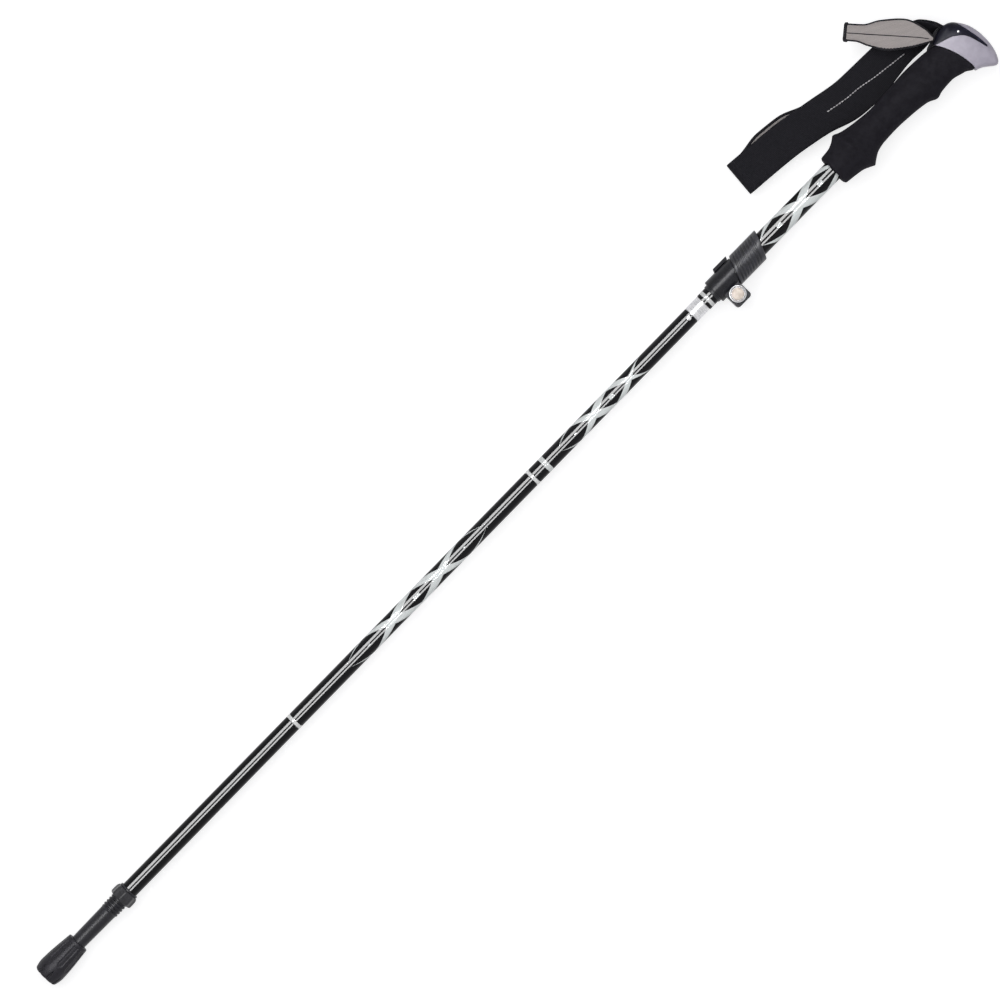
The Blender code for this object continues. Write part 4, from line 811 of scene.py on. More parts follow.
lever_outline = arc(BOLT_Y, LEVER_PIN_Z, LEVER_EYE, 60, 210, 24)
lever_outline += arc(0.0, 0.0, LEVER_OUTSIDE, -100, 108, 39)
lever_outline += arc(0.0, 0.0, LEVER_INSIDE, 8, -118, 39)
lever_rings = []
for i in range(9):
    edge = BOLT_AT + LEVER_HALF * (i / 4 - 1)
    ring = [(edge + LEVER_SLANT * max(y + 0.0090, 0.0), y, z) for y, z in lever_outline]
    lever_rings.append(ring)
lever = skin("wrapped_clamp_lever", lever_rings)
bore_rings = []
for at in (BOLT_AT - 0.012, BOLT_AT + 0.012):
    ring = [(x, BOLT_Y + y, LEVER_PIN_Z + z) for x, y, z in circle(at, LEVER_BORE, 48)]
    bore_rings.append(ring)
carve(lever, skin("lever_bore", bore_rings))
fork = oblong(BOLT_AT - FORK_HALF, BOLT_AT + FORK_HALF, BOLT_Y - 0.010, BOLT_Y + 0.0024)
carve(lever, block("lever_fork", fork, -0.022, -0.002))
round_edges(lever, 0.0004)
fit(lever, "lever", "black_plastic", clamp_plastic, "clamp_lever")


# Bolt, cross pin and adjusting nut
# Bright steel bolt and pin. The nut is turned from aluminium, and a disc of
# copper-coloured anodised aluminium is let into its top.

NUT_BOTTOM = 0.0080
NUT_TOP = 0.0122
NUT_RADIUS = 0.00735
NUT_BORE = 0.00205
NUT_SIDES = 128
DISC_RADIUS = 0.00535

refinish(polished_steel, "clamp_bolt", "lever_barrel")
nut_outline = (
    (NUT_BOTTOM, NUT_BORE), (NUT_BOTTOM, 0.0069), (NUT_BOTTOM + 0.0002, 0.0072),
    (NUT_BOTTOM + 0.0006, NUT_RADIUS), (NUT_BOTTOM + 0.0019, NUT_RADIUS),
    (NUT_BOTTOM + 0.0021, NUT_RADIUS - 0.0001), (NUT_BOTTOM + 0.0023, NUT_RADIUS),
    (NUT_TOP - 0.0007, NUT_RADIUS), (NUT_TOP - 0.0003, 0.0073), (NUT_TOP - 0.00005, 0.0071),
    (NUT_TOP, 0.0069), (NUT_TOP - 0.0001, 0.0067), (NUT_TOP - 0.0009, 0.0059),
    (NUT_TOP - 0.0012, 0.0057), (NUT_TOP - 0.0012, NUT_BORE),
)
nut = upright("turned_adjusting_nut", BOLT_AT, BOLT_Y, nut_outline, NUT_SIDES)
turned_nut = finish(
    "turned_nut_aluminium", (0.46, 0.46, 0.48), (0.60, 0.60, 0.62), (0.18, 0.32), 2600.0,
    bump=0.06, worn=(0.72, 0.72, 0.73), metallic=1.0,
)
fit(nut, "nut", "bright_aluminium", turned_nut, "thumb_nut")
disc_outline = (
    (NUT_TOP - 0.0009, 0.0010), (NUT_TOP - 0.0009, DISC_RADIUS), (NUT_TOP - 0.0002, DISC_RADIUS),
    (NUT_TOP + 0.0001, 0.0050), (NUT_TOP + 0.0002, 0.0042), (NUT_TOP + 0.00015, 0.0036),
    (NUT_TOP + 0.0002, 0.0030), (NUT_TOP + 0.00022, 0.0004),
)
disc = upright("anodised_nut_disc", BOLT_AT, BOLT_Y, disc_outline, NUT_SIDES)
anodised = finish(
    "copper_anodised", (0.42, 0.34, 0.28), (0.70, 0.63, 0.57), (0.30, 0.48), 1300.0,
    bump=0.12, metallic=0.15, specular_ior_level=0.2,
)
tree = anodised.node_tree
place = node(tree, "ShaderNodeTexCoord").outputs["Object"]
centred = node(
    tree, "ShaderNodeVectorMath", {0: place, 1: (BOLT_AT, BOLT_Y, 0.0)}, operation="SUBTRACT",
)
across = node(
    tree, "ShaderNodeVectorMath", {0: centred.outputs[0], 1: (1.0, 1.0, 0.0)},
    operation="MULTIPLY",
)
far = node(tree, "ShaderNodeVectorMath", {0: across.outputs[0]}, operation="LENGTH")
rings = reckon(tree, "SINE", reckon(tree, "MULTIPLY", far.outputs["Value"], 26000.0))
raised(anodised, 0.25, 0.00004, rings)
fit(disc, "nut", "copper_disc", anodised, "nut_disc")


# Foam grip
# Closed-cell foam, moulded round the upper tube with a flare at its foot and a
# ridge for the forefinger. Its skin is matt and shows fine open cells.

GRIP_AT = 0.958
GRIP_SIDES = 112
TOP_BACK = 0.0128
TOP_FRONT = 0.0256
TOP_MIDDLE = (TOP_BACK - TOP_FRONT) / 2
TOP_HALF = 0.0138

# Station and reach at the back, station and reach at the front, half width, squareness
GRIP_RINGS = (
    (0.0004, 0.0128, 0.0004, 0.0136, 0.0130, 2.0),
    (0.0016, 0.0143, 0.0016, 0.0153, 0.0146, 2.0),
    (0.0100, 0.0152, 0.0104, 0.0166, 0.0158, 2.0),
    (0.0165, 0.0176, 0.0188, 0.0180, 0.0178, 2.0),
    (0.0215, 0.0209, 0.0285, 0.0224, 0.0214, 2.0),
    (0.0226, 0.0209, 0.0292, 0.0226, 0.0219, 2.0),
    (0.0276, 0.0186, 0.0344, 0.0191, 0.0190, 2.0),
    (0.0368, 0.0164, 0.0403, 0.0160, 0.0164, 2.0),
    (0.0480, 0.0148, 0.0490, 0.0144, 0.0152, 2.0),
    (0.0620, 0.0137, 0.0640, 0.0139, 0.0149, 2.0),
    (0.0800, 0.0144, 0.0800, 0.0148, 0.0152, 2.1),
    (0.0950, 0.0153, 0.0980, 0.0172, 0.0156, 2.2),
    (0.1030, 0.0156, 0.1070, 0.0209, 0.0158, 2.2),
    (0.1100, 0.0154, 0.1140, 0.0193, 0.0154, 2.3),
    (0.1220, 0.0147, 0.1260, 0.0186, 0.0148, 2.5),
    (0.1300, 0.0139, 0.1380, 0.0215, 0.0143, 2.8),
)


def seam(y):
    """Station of the joint between foam and head, which curves back at +Y."""
    return HEAD_AT - 0.368 * y - 7.5 * y * y


def oval(back, front, half, square, sides):
    """Points (y, z) of a rounded outline, with its widest part midway."""
    middle = (back - front) / 2
    reach = (back + front) / 2
    points = []
    for i in range(sides):
        a = 2 * math.pi * i / sides
        c = math.cos(a)
        s = math.sin(a)
        y = middle + reach * math.copysign(abs(c) ** (2 / square), c)
        points.append((y, half * math.copysign(abs(s) ** (2 / square), s)))
    return points


def grip_ring(t):
    """One ring of the foam, t rows up the list above, slanted from back to front."""
    values = []
    for column in range(6):
        values.append(through([(i, row[column]) for i, row in enumerate(GRIP_RINGS)], t))
    back_at, back, front_at, front, half, square = values
    points = []
    for y, z in oval(back, front, half, square, GRIP_SIDES):
        share = (back - y) / (back + front)
        points.append((GRIP_AT + back_at + (front_at - back_at) * share, y, z))
    return points


grip_rings = [circle(GRIP_AT + 0.0008, CLAMP_BORE, GRIP_SIDES)]
grip_steps = 10 * (len(GRIP_RINGS) - 1)
grip_rings += [grip_ring(i / 10) for i in range(grip_steps + 1)]
below = grip_rings[-1]
top = oval(TOP_BACK, TOP_FRONT, TOP_HALF, 3.2, GRIP_SIDES)
for i in range(1, 12):
    share = i / 12
    points = []
    for (x0, y0, z0), (y1, z1) in zip(below, top):
        swell = share * share * (3 - 2 * share)
        y = y0 + (y1 - y0) * swell
        points.append((x0 + (seam(y1) - x0) * share, y, z0 + (z1 - z0) * swell))
    grip_rings.append(points)
for inward, down in ((0.0, 0.0006), (0.0001, 0.0003), (0.0003, 0.0001), (0.0006, 0.0)):
    points = []
    for y, z in top:
        keep = 1 - inward / math.hypot(y - TOP_MIDDLE, z)
        y = TOP_MIDDLE + (y - TOP_MIDDLE) * keep
        points.append((seam(y) - down, y, z * keep))
    grip_rings.append(points)
top_bore = [point[1:] for point in circle(0, CLAMP_BORE, GRIP_SIDES)]
for share in (0.5, 1.0):
    points = []
    for (y0, z0), (y1, z1) in zip(top, top_bore):
        y = y0 + (y1 - y0) * share
        points.append((seam(y), y, z0 + (z1 - z0) * share))
    grip_rings.append(points)
grip = skin("foam_hand_grip", grip_rings, closed=True, crease=60.0)
foam = finish(
    "closed_cell_foam", (0.011, 0.010, 0.014), (0.016, 0.015, 0.020), (0.70, 0.90), 1500.0,
    bump=0.45, specular_ior_level=0.08,
)
tree = foam.node_tree
place = node(tree, "ShaderNodeTexCoord").outputs["Object"]
cells = node(tree, "ShaderNodeTexVoronoi", {"Vector": place, "Scale": 1300.0, "Randomness": 1.0})
pits = ramp(tree, cells.outputs["Distance"], 0.08, 0.36)
raised(foam, 0.30, 0.00012, pits)
fit(grip, "handle", "foam", foam, "foam_grip")


# Grip head
# A hollow moulding of pale lilac plastic with a beak over the hand. It is pressed
# onto the tube by a boss inside and has a window for the strap wedge.

BOSS_RADIUS = 0.0079

# Place across (y), lowest and highest station beyond HEAD_AT, half width
HEAD_OVALS = (
    (0.0192, 0.0074, 0.0118, 0.0062),
    (0.0188, 0.0060, 0.0132, 0.0080),
    (0.0180, 0.0020, 0.0158, 0.0104),
    (0.0158, -0.0050, 0.0192, 0.0119),
    (0.0126, -0.0140, 0.0219, 0.0128),
    (0.0080, -0.0140, 0.0250, 0.0136),
    (0.0030, -0.0140, 0.0273, 0.0140),
    (-0.0030, -0.0140, 0.0288, 0.0141),
    (-0.0090, -0.0140, 0.0295, 0.0140),
    (-0.0150, -0.0130, 0.0295, 0.0136),
    (-0.0210, -0.0090, 0.0289, 0.0128),
    (-0.0256, -0.0010, 0.0279, 0.0118),
    (-0.0292, 0.0094, 0.0267, 0.0104),
    (-0.0328, 0.0145, 0.0250, 0.0088),
    (-0.0355, 0.0178, 0.0232, 0.0066),
    (-0.0368, 0.0198, 0.0217, 0.0040),
)
WINDOW_LOW = (
    (-0.0105, 0.0220), (-0.0051, 0.0122), (0.0038, 0.0091), (0.0091, 0.0070),
    (0.0130, 0.0044), (0.0169, 0.0010), (0.0196, -0.0037), (0.0214, -0.0092),
    (0.0229, -0.0149), (0.0243, -0.0205),
)
WINDOW_HIGH = (
    (0.0259, -0.0193), (0.0255, -0.0134), (0.0246, -0.0060), (0.0233, 0.0009),
    (0.0220, 0.0078), (0.0206, 0.0140), (0.0190, 0.0220),
)


def finer(points, steps):
    """The same line of points with rounded corners."""
    first = [(i, point[0]) for i, point in enumerate(points)]
    second = [(i, point[1]) for i, point in enumerate(points)]
    count = (len(points) - 1) * steps
    return [(through(first, i / steps), through(second, i / steps)) for i in range(count + 1)]


def head_form(name):
    """The whole outside of the head, before it is divided."""
    rows = HEAD_OVALS[::-1]
    loops = []
    for k in range(6 * (len(rows) - 1) + 1):
        y, low, high, half = [
            through([(i, row[column]) for i, row in enumerate(rows)], k / 6)
            for column in range(4)
        ]
        middle = HEAD_AT + (low + high) / 2
        outline = oval((high - low) / 2, (high - low) / 2, half, 3.0, 72)
        loops.append([(middle + up, y, z) for up, z in outline])
    return skin(name, loops, crease=50.0)


def inset(outline, distance):
    """The outline moved inwards. Its points run anticlockwise."""
    moved = []
    count = len(outline)
    for i in range(count):
        here = Vector(outline[i])
        before = (here - Vector(outline[i - 1])).normalized()
        after = (Vector(outline[(i + 1) % count]) - here).normalized()
        inward = Vector((-before.y - after.y, before.x + after.x)).normalized()
        share = max(inward.dot(Vector((-before.y, before.x))), 0.5)
        moved.append(tuple(here + inward * distance / share))
    return moved


window = [(HEAD_AT + x, y) for x, y in finer(WINDOW_LOW, 4) + finer(WINDOW_HIGH, 4)]
head = head_form("moulded_grip_head")
below_seam = []
for i in range(41):
    y = -0.040 + 0.064 * i / 40
    below_seam.append((seam(y) + GAP, y))
below_seam += [(HEAD_AT - 0.030, 0.024), (HEAD_AT - 0.030, -0.040)]
carve(head, block("below_seam", below_seam, -0.030, 0.030))
carve(head, block("head_window", window, -0.030, 0.030))
head_bore = [circle(HEAD_AT + x, CLAMP_BORE, 96) for x in (-0.040, GAP)]
carve(head, skin("head_bore", head_bore))
head_boss = [circle(HEAD_AT + x, BOSS_RADIUS, 96) for x in (-0.030, 0.002)]
carve(head, skin("head_boss", head_boss), "UNION")
head.data.set_sharp_from_angle(angle=math.radians(38))
round_edges(head, 0.0005, 38.0)
lilac = finish(
    "lilac_moulded_plastic", (0.440, 0.410, 0.500), (0.490, 0.458, 0.550), (0.38, 0.54),
    1700.0, bump=0.10, specular_ior_level=0.40,
)
fit(head, "handle", "lilac_plastic", lilac, "grip_head")


# Strap wedge and its pin
# A dark navy wedge, polished, that fills the head's window and holds the strap.
# A bright steel pin through it also goes through the strap's eye.

PIN_X = 1.1161
PIN_Y = 0.0064
PIN_RADIUS = 0.0011
PIN_HOLE = ((-0.020, 0.0014), (0.020, 0.0014))
POCKET_HALF = 0.0088
STRAP_THICKNESS = 0.0016
EYE_RADIUS = PIN_RADIUS + GAP + STRAP_THICKNESS / 2
EXIT_BACK = 0.0060
EXIT_ASIDE = 0.0110
EXIT = Vector((-EXIT_BACK, EXIT_ASIDE)).normalized()

wedge = head_form("polished_strap_wedge")
carve(wedge, block("wedge_body", inset(window, GAP), -0.030, 0.030), "INTERSECT")
exit_turn = math.degrees(math.atan2(EXIT.y, EXIT.x))
pocket_radius = EYE_RADIUS + STRAP_THICKNESS / 2 + GAP
pocket = arc(PIN_X, PIN_Y, pocket_radius, exit_turn + 90, 180, 16)
for x, y in (pocket[-1], pocket[0]):
    pocket.append((x + 0.030 * EXIT.x, y + 0.030 * EXIT.y))
carve(wedge, block("strap_pocket", pocket, -POCKET_HALF, POCKET_HALF))
carve(wedge, upright("strap_pin_hole", PIN_X, PIN_Y, PIN_HOLE, 32))
wedge.data.shade_smooth()
wedge.data.set_sharp_from_angle(angle=math.radians(38))
round_edges(wedge, 0.0004, 38.0)
navy = finish(
    "polished_navy_plastic", (0.004, 0.004, 0.011), (0.008, 0.008, 0.020), (0.26, 0.38),
    900.0, bump=0.03, worn=(0.040, 0.040, 0.075), specular_ior_level=0.12,
)
fit(wedge, "handle", "dark_plastic", navy, "strap_wedge")
pin_outline = (
    (-0.0136, 0.0004), (-0.0135, 0.0009), (-0.0133, PIN_RADIUS), (0.0133, PIN_RADIUS),
    (0.0135, 0.0010), (0.0137, 0.0008), (0.0138, 0.0004),
)
pin = upright("steel_strap_pin", PIN_X, PIN_Y, pin_outline, 48)
fit(pin, "handle", "steel", polished_steel, "strap_pin")


# Wrist strap
# One closed loop of black polyester webbing, round the pin. It turns from on edge
# to flat and folds at its far end. A pale line of stitches runs along its middle.

STRAP_FAR = 0.2115
STRAP_FOLD = 0.0060
FLAT = STRAP_THICKNESS / 2 + STRAP_FOLD
STRAP_WIDTH = 0.0320
STRAP_ROOT_WIDTH = 0.0170
FACE_POINTS = 17
EDGE_POINTS = 4

# Each list starts with the distance back from the pin. The route goes on with the
# place aside, towards +Y, and the height over the ground, where it isn't the pin's.
STRAP_ROUTE = (
    (0.0, 0.0, None), (EXIT_BACK, EXIT_ASIDE, None), (0.0090, 0.0160, 0.0231),
    (0.0130, 0.0188, 0.0224), (0.0190, 0.0220, 0.0198), (0.0280, 0.0238, 0.0160),
    (0.0420, 0.0262, 0.0118), (0.0620, 0.0272, 0.0086), (0.0990, 0.0285, FLAT),
    (0.1340, 0.0346, FLAT), (0.1680, 0.0406, FLAT), (STRAP_FAR, 0.0449, FLAT),
)
STRAP_TWIST = (
    (0.0, 0.0), (EXIT_BACK, 0.0), (0.012, 35.0), (0.016, 50.0), (0.019, 62.0), (0.026, 76.0),
    (0.050, 90.0), (STRAP_FAR, 90.0),
)
STRAP_SPREAD = (
    (0.0, EYE_RADIUS), (0.0030, EYE_RADIUS), (0.0085, 0.0011), (0.019, 0.0012),
    (0.030, 0.0018), (0.090, STRAP_FOLD), (STRAP_FAR, STRAP_FOLD),
)
STRAP_WIDTHS = (
    (0.0, STRAP_ROOT_WIDTH), (0.0085, 0.0172), (0.019, 0.0240), (0.045, 0.0310),
    (0.062, 0.0340), (0.082, 0.0368), (0.104, 0.0362), (0.135, 0.0325),
    (STRAP_FAR, STRAP_WIDTH),
)
DOWN = Vector((0.0, 0.0, -1.0))


def ground(x):
    """Height of the ground in the pole's frame, which slopes a little."""
    return -(POLE.translation.z + pole_x.z * x) / pole_x.x


def strap_centre(back):
    """Middle between the two layers, at a distance back from the pin."""
    heights = []
    for distance, aside, height in STRAP_ROUTE:
        heights.append((distance, 0.0 if height is None else ground(PIN_X - distance) + height))
    y = through([(row[0], PIN_Y + row[1]) for row in STRAP_ROUTE], back)
    return Vector((PIN_X - back, y, through(heights, back)))


def strap_station(back):
    """Middle, direction, way from the upper to the lower layer and width's way."""
    low = max(back - 0.0004, 0.0)
    high = min(back + 0.0004, STRAP_FAR)
    along = (strap_centre(high) - strap_centre(low)).normalized()
    if back <= EXIT_BACK:
        along = Vector((EXIT.x, EXIT.y, 0.0))
    aside = Vector((along.y, -along.x, 0.0)).normalized()
    twist = math.radians(through(STRAP_TWIST, back))
    apart = aside * math.cos(twist) + DOWN * math.sin(twist)
    apart = (apart - along * apart.dot(along)).normalized()
    return strap_centre(back), along, apart, along.cross(apart)


def webbing_ring(middle, normal, across, width, thickness):
    """A flat section with round edges: its outer face, an edge, its inner face, an edge."""
    points = []
    half = width / 2 - thickness / 2
    for out, side in ((normal, across), (-normal, -across)):
        for i in range(FACE_POINTS):
            share = 1 - 2 * i / (FACE_POINTS - 1)
            points.append(middle + out * thickness / 2 + side * half * share)
        for i in range(1, EDGE_POINTS + 1):
            a = math.pi * i / (EDGE_POINTS + 1)
            round_edge = out * math.cos(a) - side * math.sin(a)
            points.append(middle - side * half + round_edge * thickness / 2)
    return points


def with_lengths(piece, rings, closed):
    """Lays a map on the webbing: length along it and distance across it, in metres."""
    count = len(rings[0])
    lengths = [0.0]
    for first, second in zip(rings, rings[1:] + rings[:1]):
        lengths.append(lengths[-1] + (sum(second, Vector()) - sum(first, Vector())).length / count)
    middles = [sum(ring, Vector()) / count for ring in rings]
    layer = piece.data.uv_layers.new(name="webbing")
    for face in piece.data.polygons:
        numbers = [vertex // count for vertex in face.vertices]
        wraps = closed and max(numbers) - min(numbers) > 1
        for corner, vertex, ring in zip(face.loop_indices, face.vertices, numbers):
            spot = piece.data.vertices[vertex].co
            across = rings[ring][0] - rings[ring][FACE_POINTS - 1]
            away = (spot - middles[ring]).dot(across.normalized())
            length = lengths[-1] if wraps and ring == 0 else lengths[ring]
            layer.data[corner].uv = (length, away)


def layer_ring(back, side):
    """A section of the lower (1) or upper (-1) layer, a little wavy where it lies loose."""
    middle, along, apart, across = strap_station(back)
    loose = soft_step(0.060, 0.110, back) * (1 - soft_step(0.195, STRAP_FAR, back))
    wave = 0.00030 * loose * (1 + math.sin(back * 160 + side))
    centre = middle + apart * side * (through(STRAP_SPREAD, back) - wave)
    if side > 0:
        aside = soft_step(0.135, 0.160, back) * (1 - soft_step(0.180, 0.206, back))
        centre += across * math.copysign(0.0045 * aside, across.y)
    width = through(STRAP_WIDTHS, back)
    centre -= across * math.copysign(max(width - STRAP_WIDTH, 0.0) / 2, across.y)
    return webbing_ring(centre, apart * side, across, width, STRAP_THICKNESS)


distances = []
for i in range(121):
    share = i / 120
    distances.append(STRAP_FAR * (0.15 * share + 0.85 * share * share))
strap_rings = [layer_ring(back, 1) for back in distances]
middle, along, apart, across = strap_station(STRAP_FAR)
for i in range(1, 20):
    a = math.pi * i / 20
    normal = apart * math.cos(a) + along * math.sin(a)
    spot = middle + normal * STRAP_FOLD
    strap_rings.append(webbing_ring(spot, normal, across, STRAP_WIDTH, STRAP_THICKNESS))
strap_rings += [layer_ring(back, -1) for back in reversed(distances)]
middle, along, apart, across = strap_station(0.0)
for i in range(1, 20):
    a = math.pi * i / 20
    normal = -apart * math.cos(a) - along * math.sin(a)
    spot = middle + normal * EYE_RADIUS
    strap_rings.append(webbing_ring(spot, normal, across, STRAP_ROOT_WIDTH, STRAP_THICKNESS))
strap = skin("webbing_wrist_loop", strap_rings, closed=True, crease=75.0)
with_lengths(strap, strap_rings, True)

# Weave: ribs of warp along the strap, crossed by rows of weft
weave_tree, given, result = effect(
    "webbing_weave", {"Warp": 0.0011, "Weft": 0.0008}, ("Height", "Thread")
)
lay = node(weave_tree, "ShaderNodeUVMap", uv_map="webbing").outputs["UV"]
lay = node(weave_tree, "ShaderNodeSeparateXYZ", {0: lay}).outputs
rows = reckon(weave_tree, "DIVIDE", lay[0], given["Weft"])
ribs = reckon(weave_tree, "DIVIDE", lay[1], given["Warp"])
over = reckon(weave_tree, "MULTIPLY", reckon(weave_tree, "FLOOR", ribs), 0.5)
over = reckon(weave_tree, "MULTIPLY", reckon(weave_tree, "ADD", rows, over), 2 * math.pi)
over = reckon(weave_tree, "SINE", over)
rib = reckon(weave_tree, "PINGPONG", ribs, 0.5)
rib = reckon(weave_tree, "SINE", reckon(weave_tree, "MULTIPLY", rib, math.pi))
height = reckon(weave_tree, "MULTIPLY", rib, ramp(weave_tree, over, -1.0, 1.0, 0.45, 1.0))
yarn = node(weave_tree, "ShaderNodeTexNoise", {"Scale": 420.0, "Detail": 3.0})
frayed = ramp(weave_tree, yarn.outputs["Fac"], 0.3, 0.7, 0.55, 1.0)
thread = reckon(weave_tree, "MULTIPLY", height, frayed)
weave_tree.links.new(height, result["Height"])
weave_tree.links.new(thread, result["Thread"])


def woven(name, dark, light, rough, warp, weft, bump, sheen):
    """A woven strap or cloth, with its threads in relief."""
    material = finish(
        name, dark, dark, rough, 1600.0, bump=0.12, sheen_weight=sheen, specular_ior_level=0.1,
    )
    weave = node(material.node_tree, "ShaderNodeGroup", node_tree=weave_tree)
    weave.inputs["Warp"].default_value = warp
    weave.inputs["Weft"].default_value = weft
    inked(material, weave.outputs["Thread"], light)
    raised(material, bump, 0.00025, weave.outputs["Height"])
    return material


webbing = woven(
    "black_polyester_webbing", (0.004, 0.004, 0.006), (0.017, 0.016, 0.022), (0.70, 0.90),
    0.0013, 0.0009, 0.55, 0.02,
)
lining = woven(
    "grey_strap_lining", (0.24, 0.22, 0.22), (0.66, 0.62, 0.60), (0.75, 0.92), 0.0008,
    0.0008, 0.4, 0.2,
)
fit(strap, "handle", "webbing", webbing, "wrist_strap")
strap.data.materials.append(lining)

# The lining covers the inner face, apart from a narrow margin at each side
section_points = len(strap_rings[0])
inner_start = FACE_POINTS + EDGE_POINTS
lined = range(inner_start + 1, inner_start + FACE_POINTS - 2)
for face in strap.data.polygons:
    if face.index % section_points in lined:
        face.material_index = 1

UP = Vector((0.0, 0.0, 1.0))


def strung(name, paths, wide, high, sides=12):
    """A piece of threads along lines of points. Wide may be a function of the point's number."""
    build = bmesh.new()
    for path in paths:
        loops = []
        for i, spot in enumerate(path):
            ahead = path[min(i + 1, len(path) - 1)] - path[max(i - 1, 0)]
            side = ahead.cross(UP).normalized()
            top = side.cross(ahead).normalized()
            ends = min(i, len(path) - 1 - i)
            slim = 0.45 if ends == 0 else 0.85 if ends == 1 else 1.0
            reach = wide(i) if callable(wide) else wide
            loop = []
            for j in range(sides):
                a = 2 * math.pi * j / sides
                out = side * reach * math.cos(a) + top * high * math.sin(a)
                loop.append(build.verts.new(spot + out * slim))
            loops.append(loop)
        build.faces.new(loops[0])
        build.faces.new(loops[-1])
        for first, second in zip(loops, loops[1:]):
            for j in range(sides):
                k = (j + 1) % sides
                build.faces.new((first[j], first[k], second[k], second[j]))
    bmesh.ops.recalc_face_normals(build, faces=build.faces)
    mesh = bpy.data.meshes.new(name)
    build.to_mesh(mesh)
    build.free()
    mesh.shade_smooth()
    piece = bpy.data.objects.new(name, mesh)
    bpy.context.scene.collection.objects.link(piece)
    piece.matrix_world = POLE
    return piece


STITCH_START = 0.0420
STITCH_PITCH = 0.00285
STITCH_LENGTH = 0.0024
STITCH_ASIDE = (
    (0.040, -0.0068), (0.0427, -0.0067), (0.0714, -0.0043), (0.0963, -0.0009),
    (0.1229, -0.0007), (0.126, -0.0007),
)


def on_strap(back, aside, above):
    """A point over the upper layer, aside of its middle towards +Y."""
    middle, _, apart, across = strap_station(back)
    toward = across if across.y > 0 else -across
    upper = layer_ring(back, -1)[FACE_POINTS // 2]
    centred = toward * (middle - upper).dot(toward)
    return upper + centred - apart * above + toward * aside


stitches = []
for i in range(29):
    path = []
    for k in range(7):
        back = STITCH_START + STITCH_PITCH * i + STITCH_LENGTH * k / 6
        arch = 0.00030 * math.sin(math.pi * k / 6) - 0.00004
        path.append(on_strap(back, through(STITCH_ASIDE, back), arch))
    stitches.append(path)
stitching = strung("strap_stitches", stitches, 0.00050, 0.00034)
pale_thread = finish(
    "pale_polyester_thread", (0.42, 0.40, 0.42), (0.62, 0.60, 0.62), (0.45, 0.65), 3200.0,
    along=0.4, bump=0.4, sheen_weight=0.2,
)
fit(stitching, "handle", "webbing", pale_thread)


# Strap tail
# The loose end of the strap: a leaf of pale woven cloth on a thin pad, bound all
# round in black and stitched down its middle with a dark thread.

TAIL_ROOT = Vector((PIN_X - 0.0190, PIN_Y + 0.0105))
TAIL_WAY = Vector((-0.6256, 0.7802))
TAIL_ACROSS = Vector((TAIL_WAY.y, -TAIL_WAY.x))
TAIL_LENGTH = 0.0756
TAIL_TIP = 0.006
TAIL_SQUARE = 0.982
TAIL_INSET = 0.95
TAIL_LEFT = (
    (0.0, 0.0012), (0.106, 0.0084), (0.34, 0.0150), (0.61, 0.0121), (0.80, 0.0072),
    (1.0, 0.0069),
)
TAIL_RIGHT = (
    (0.0, 0.0012), (0.27, 0.0092), (0.52, 0.0128), (0.72, 0.0104), (0.86, 0.0074),
    (1.0, 0.0072),
)
TAIL_HEIGHT = ((0.0, 0.0325), (0.35, 0.0325), (0.70, 0.0270), (1.0, 0.0200))


def on_tail(t, share, above):
    """A point over the leaf: t along it, share -1 right to 1 left, above its middle."""
    reach = through(TAIL_LEFT if share > 0 else TAIL_RIGHT, t)
    spot = TAIL_ROOT + TAIL_WAY * TAIL_LENGTH * t + TAIL_ACROSS * reach * share
    crown = 0.0007 * (1 - share * share) - 0.0012 * soft_step(0.5, 1.0, abs(share)) * t
    return Vector((spot.x, spot.y, ground(spot.x) + through(TAIL_HEIGHT, t) + crown + above))


tail_rings = []
for i in range(91):
    t = TAIL_TIP + (TAIL_SQUARE - TAIL_TIP) * i / 90
    ring = []
    for side, above in ((1, 0.0005), (-1, -0.0007)):
        for k in range(FACE_POINTS):
            share = side * TAIL_INSET * (1 - 2 * k / (FACE_POINTS - 1))
            ring.append(on_tail(t, share, above))
    tail_rings.append(ring)
tail = skin("leaf_strap_tail", tail_rings, crease=60.0)
with_lengths(tail, tail_rings, False)
leaf_cloth = woven(
    "pale_woven_cloth", (0.240, 0.216, 0.214), (0.800, 0.735, 0.720), (0.78, 0.95), 0.0010,
    0.0010, 0.5, 0.15,
)
fit(tail, "handle", "tail_webbing", leaf_cloth, "strap_tail")

SIDE_STEPS = 110
END_STEPS = 24
SQUARE_END = range(SIDE_STEPS - 2, SIDE_STEPS + END_STEPS + 4)
TOOTHED = range(180, 233)
edge_line = [on_tail(TAIL_SQUARE * i / SIDE_STEPS, TAIL_INSET, 0.0) for i in range(SIDE_STEPS)]
for i in range(END_STEPS):
    edge_line.append(on_tail(TAIL_SQUARE, TAIL_INSET * (1 - 2 * i / END_STEPS), 0.0))
for i in range(SIDE_STEPS + 1):
    edge_line.append(on_tail(TAIL_SQUARE * (1 - i / SIDE_STEPS), -TAIL_INSET, 0.0))


def binding_reach(i):
    """Half width of the binding: wide at the square end, toothed along the lower edge."""
    if i in SQUARE_END:
        return 0.00185
    if i in TOOTHED:
        return 0.00080 + 0.00040 * (i % 4 in (0, 1))
    return 0.00085


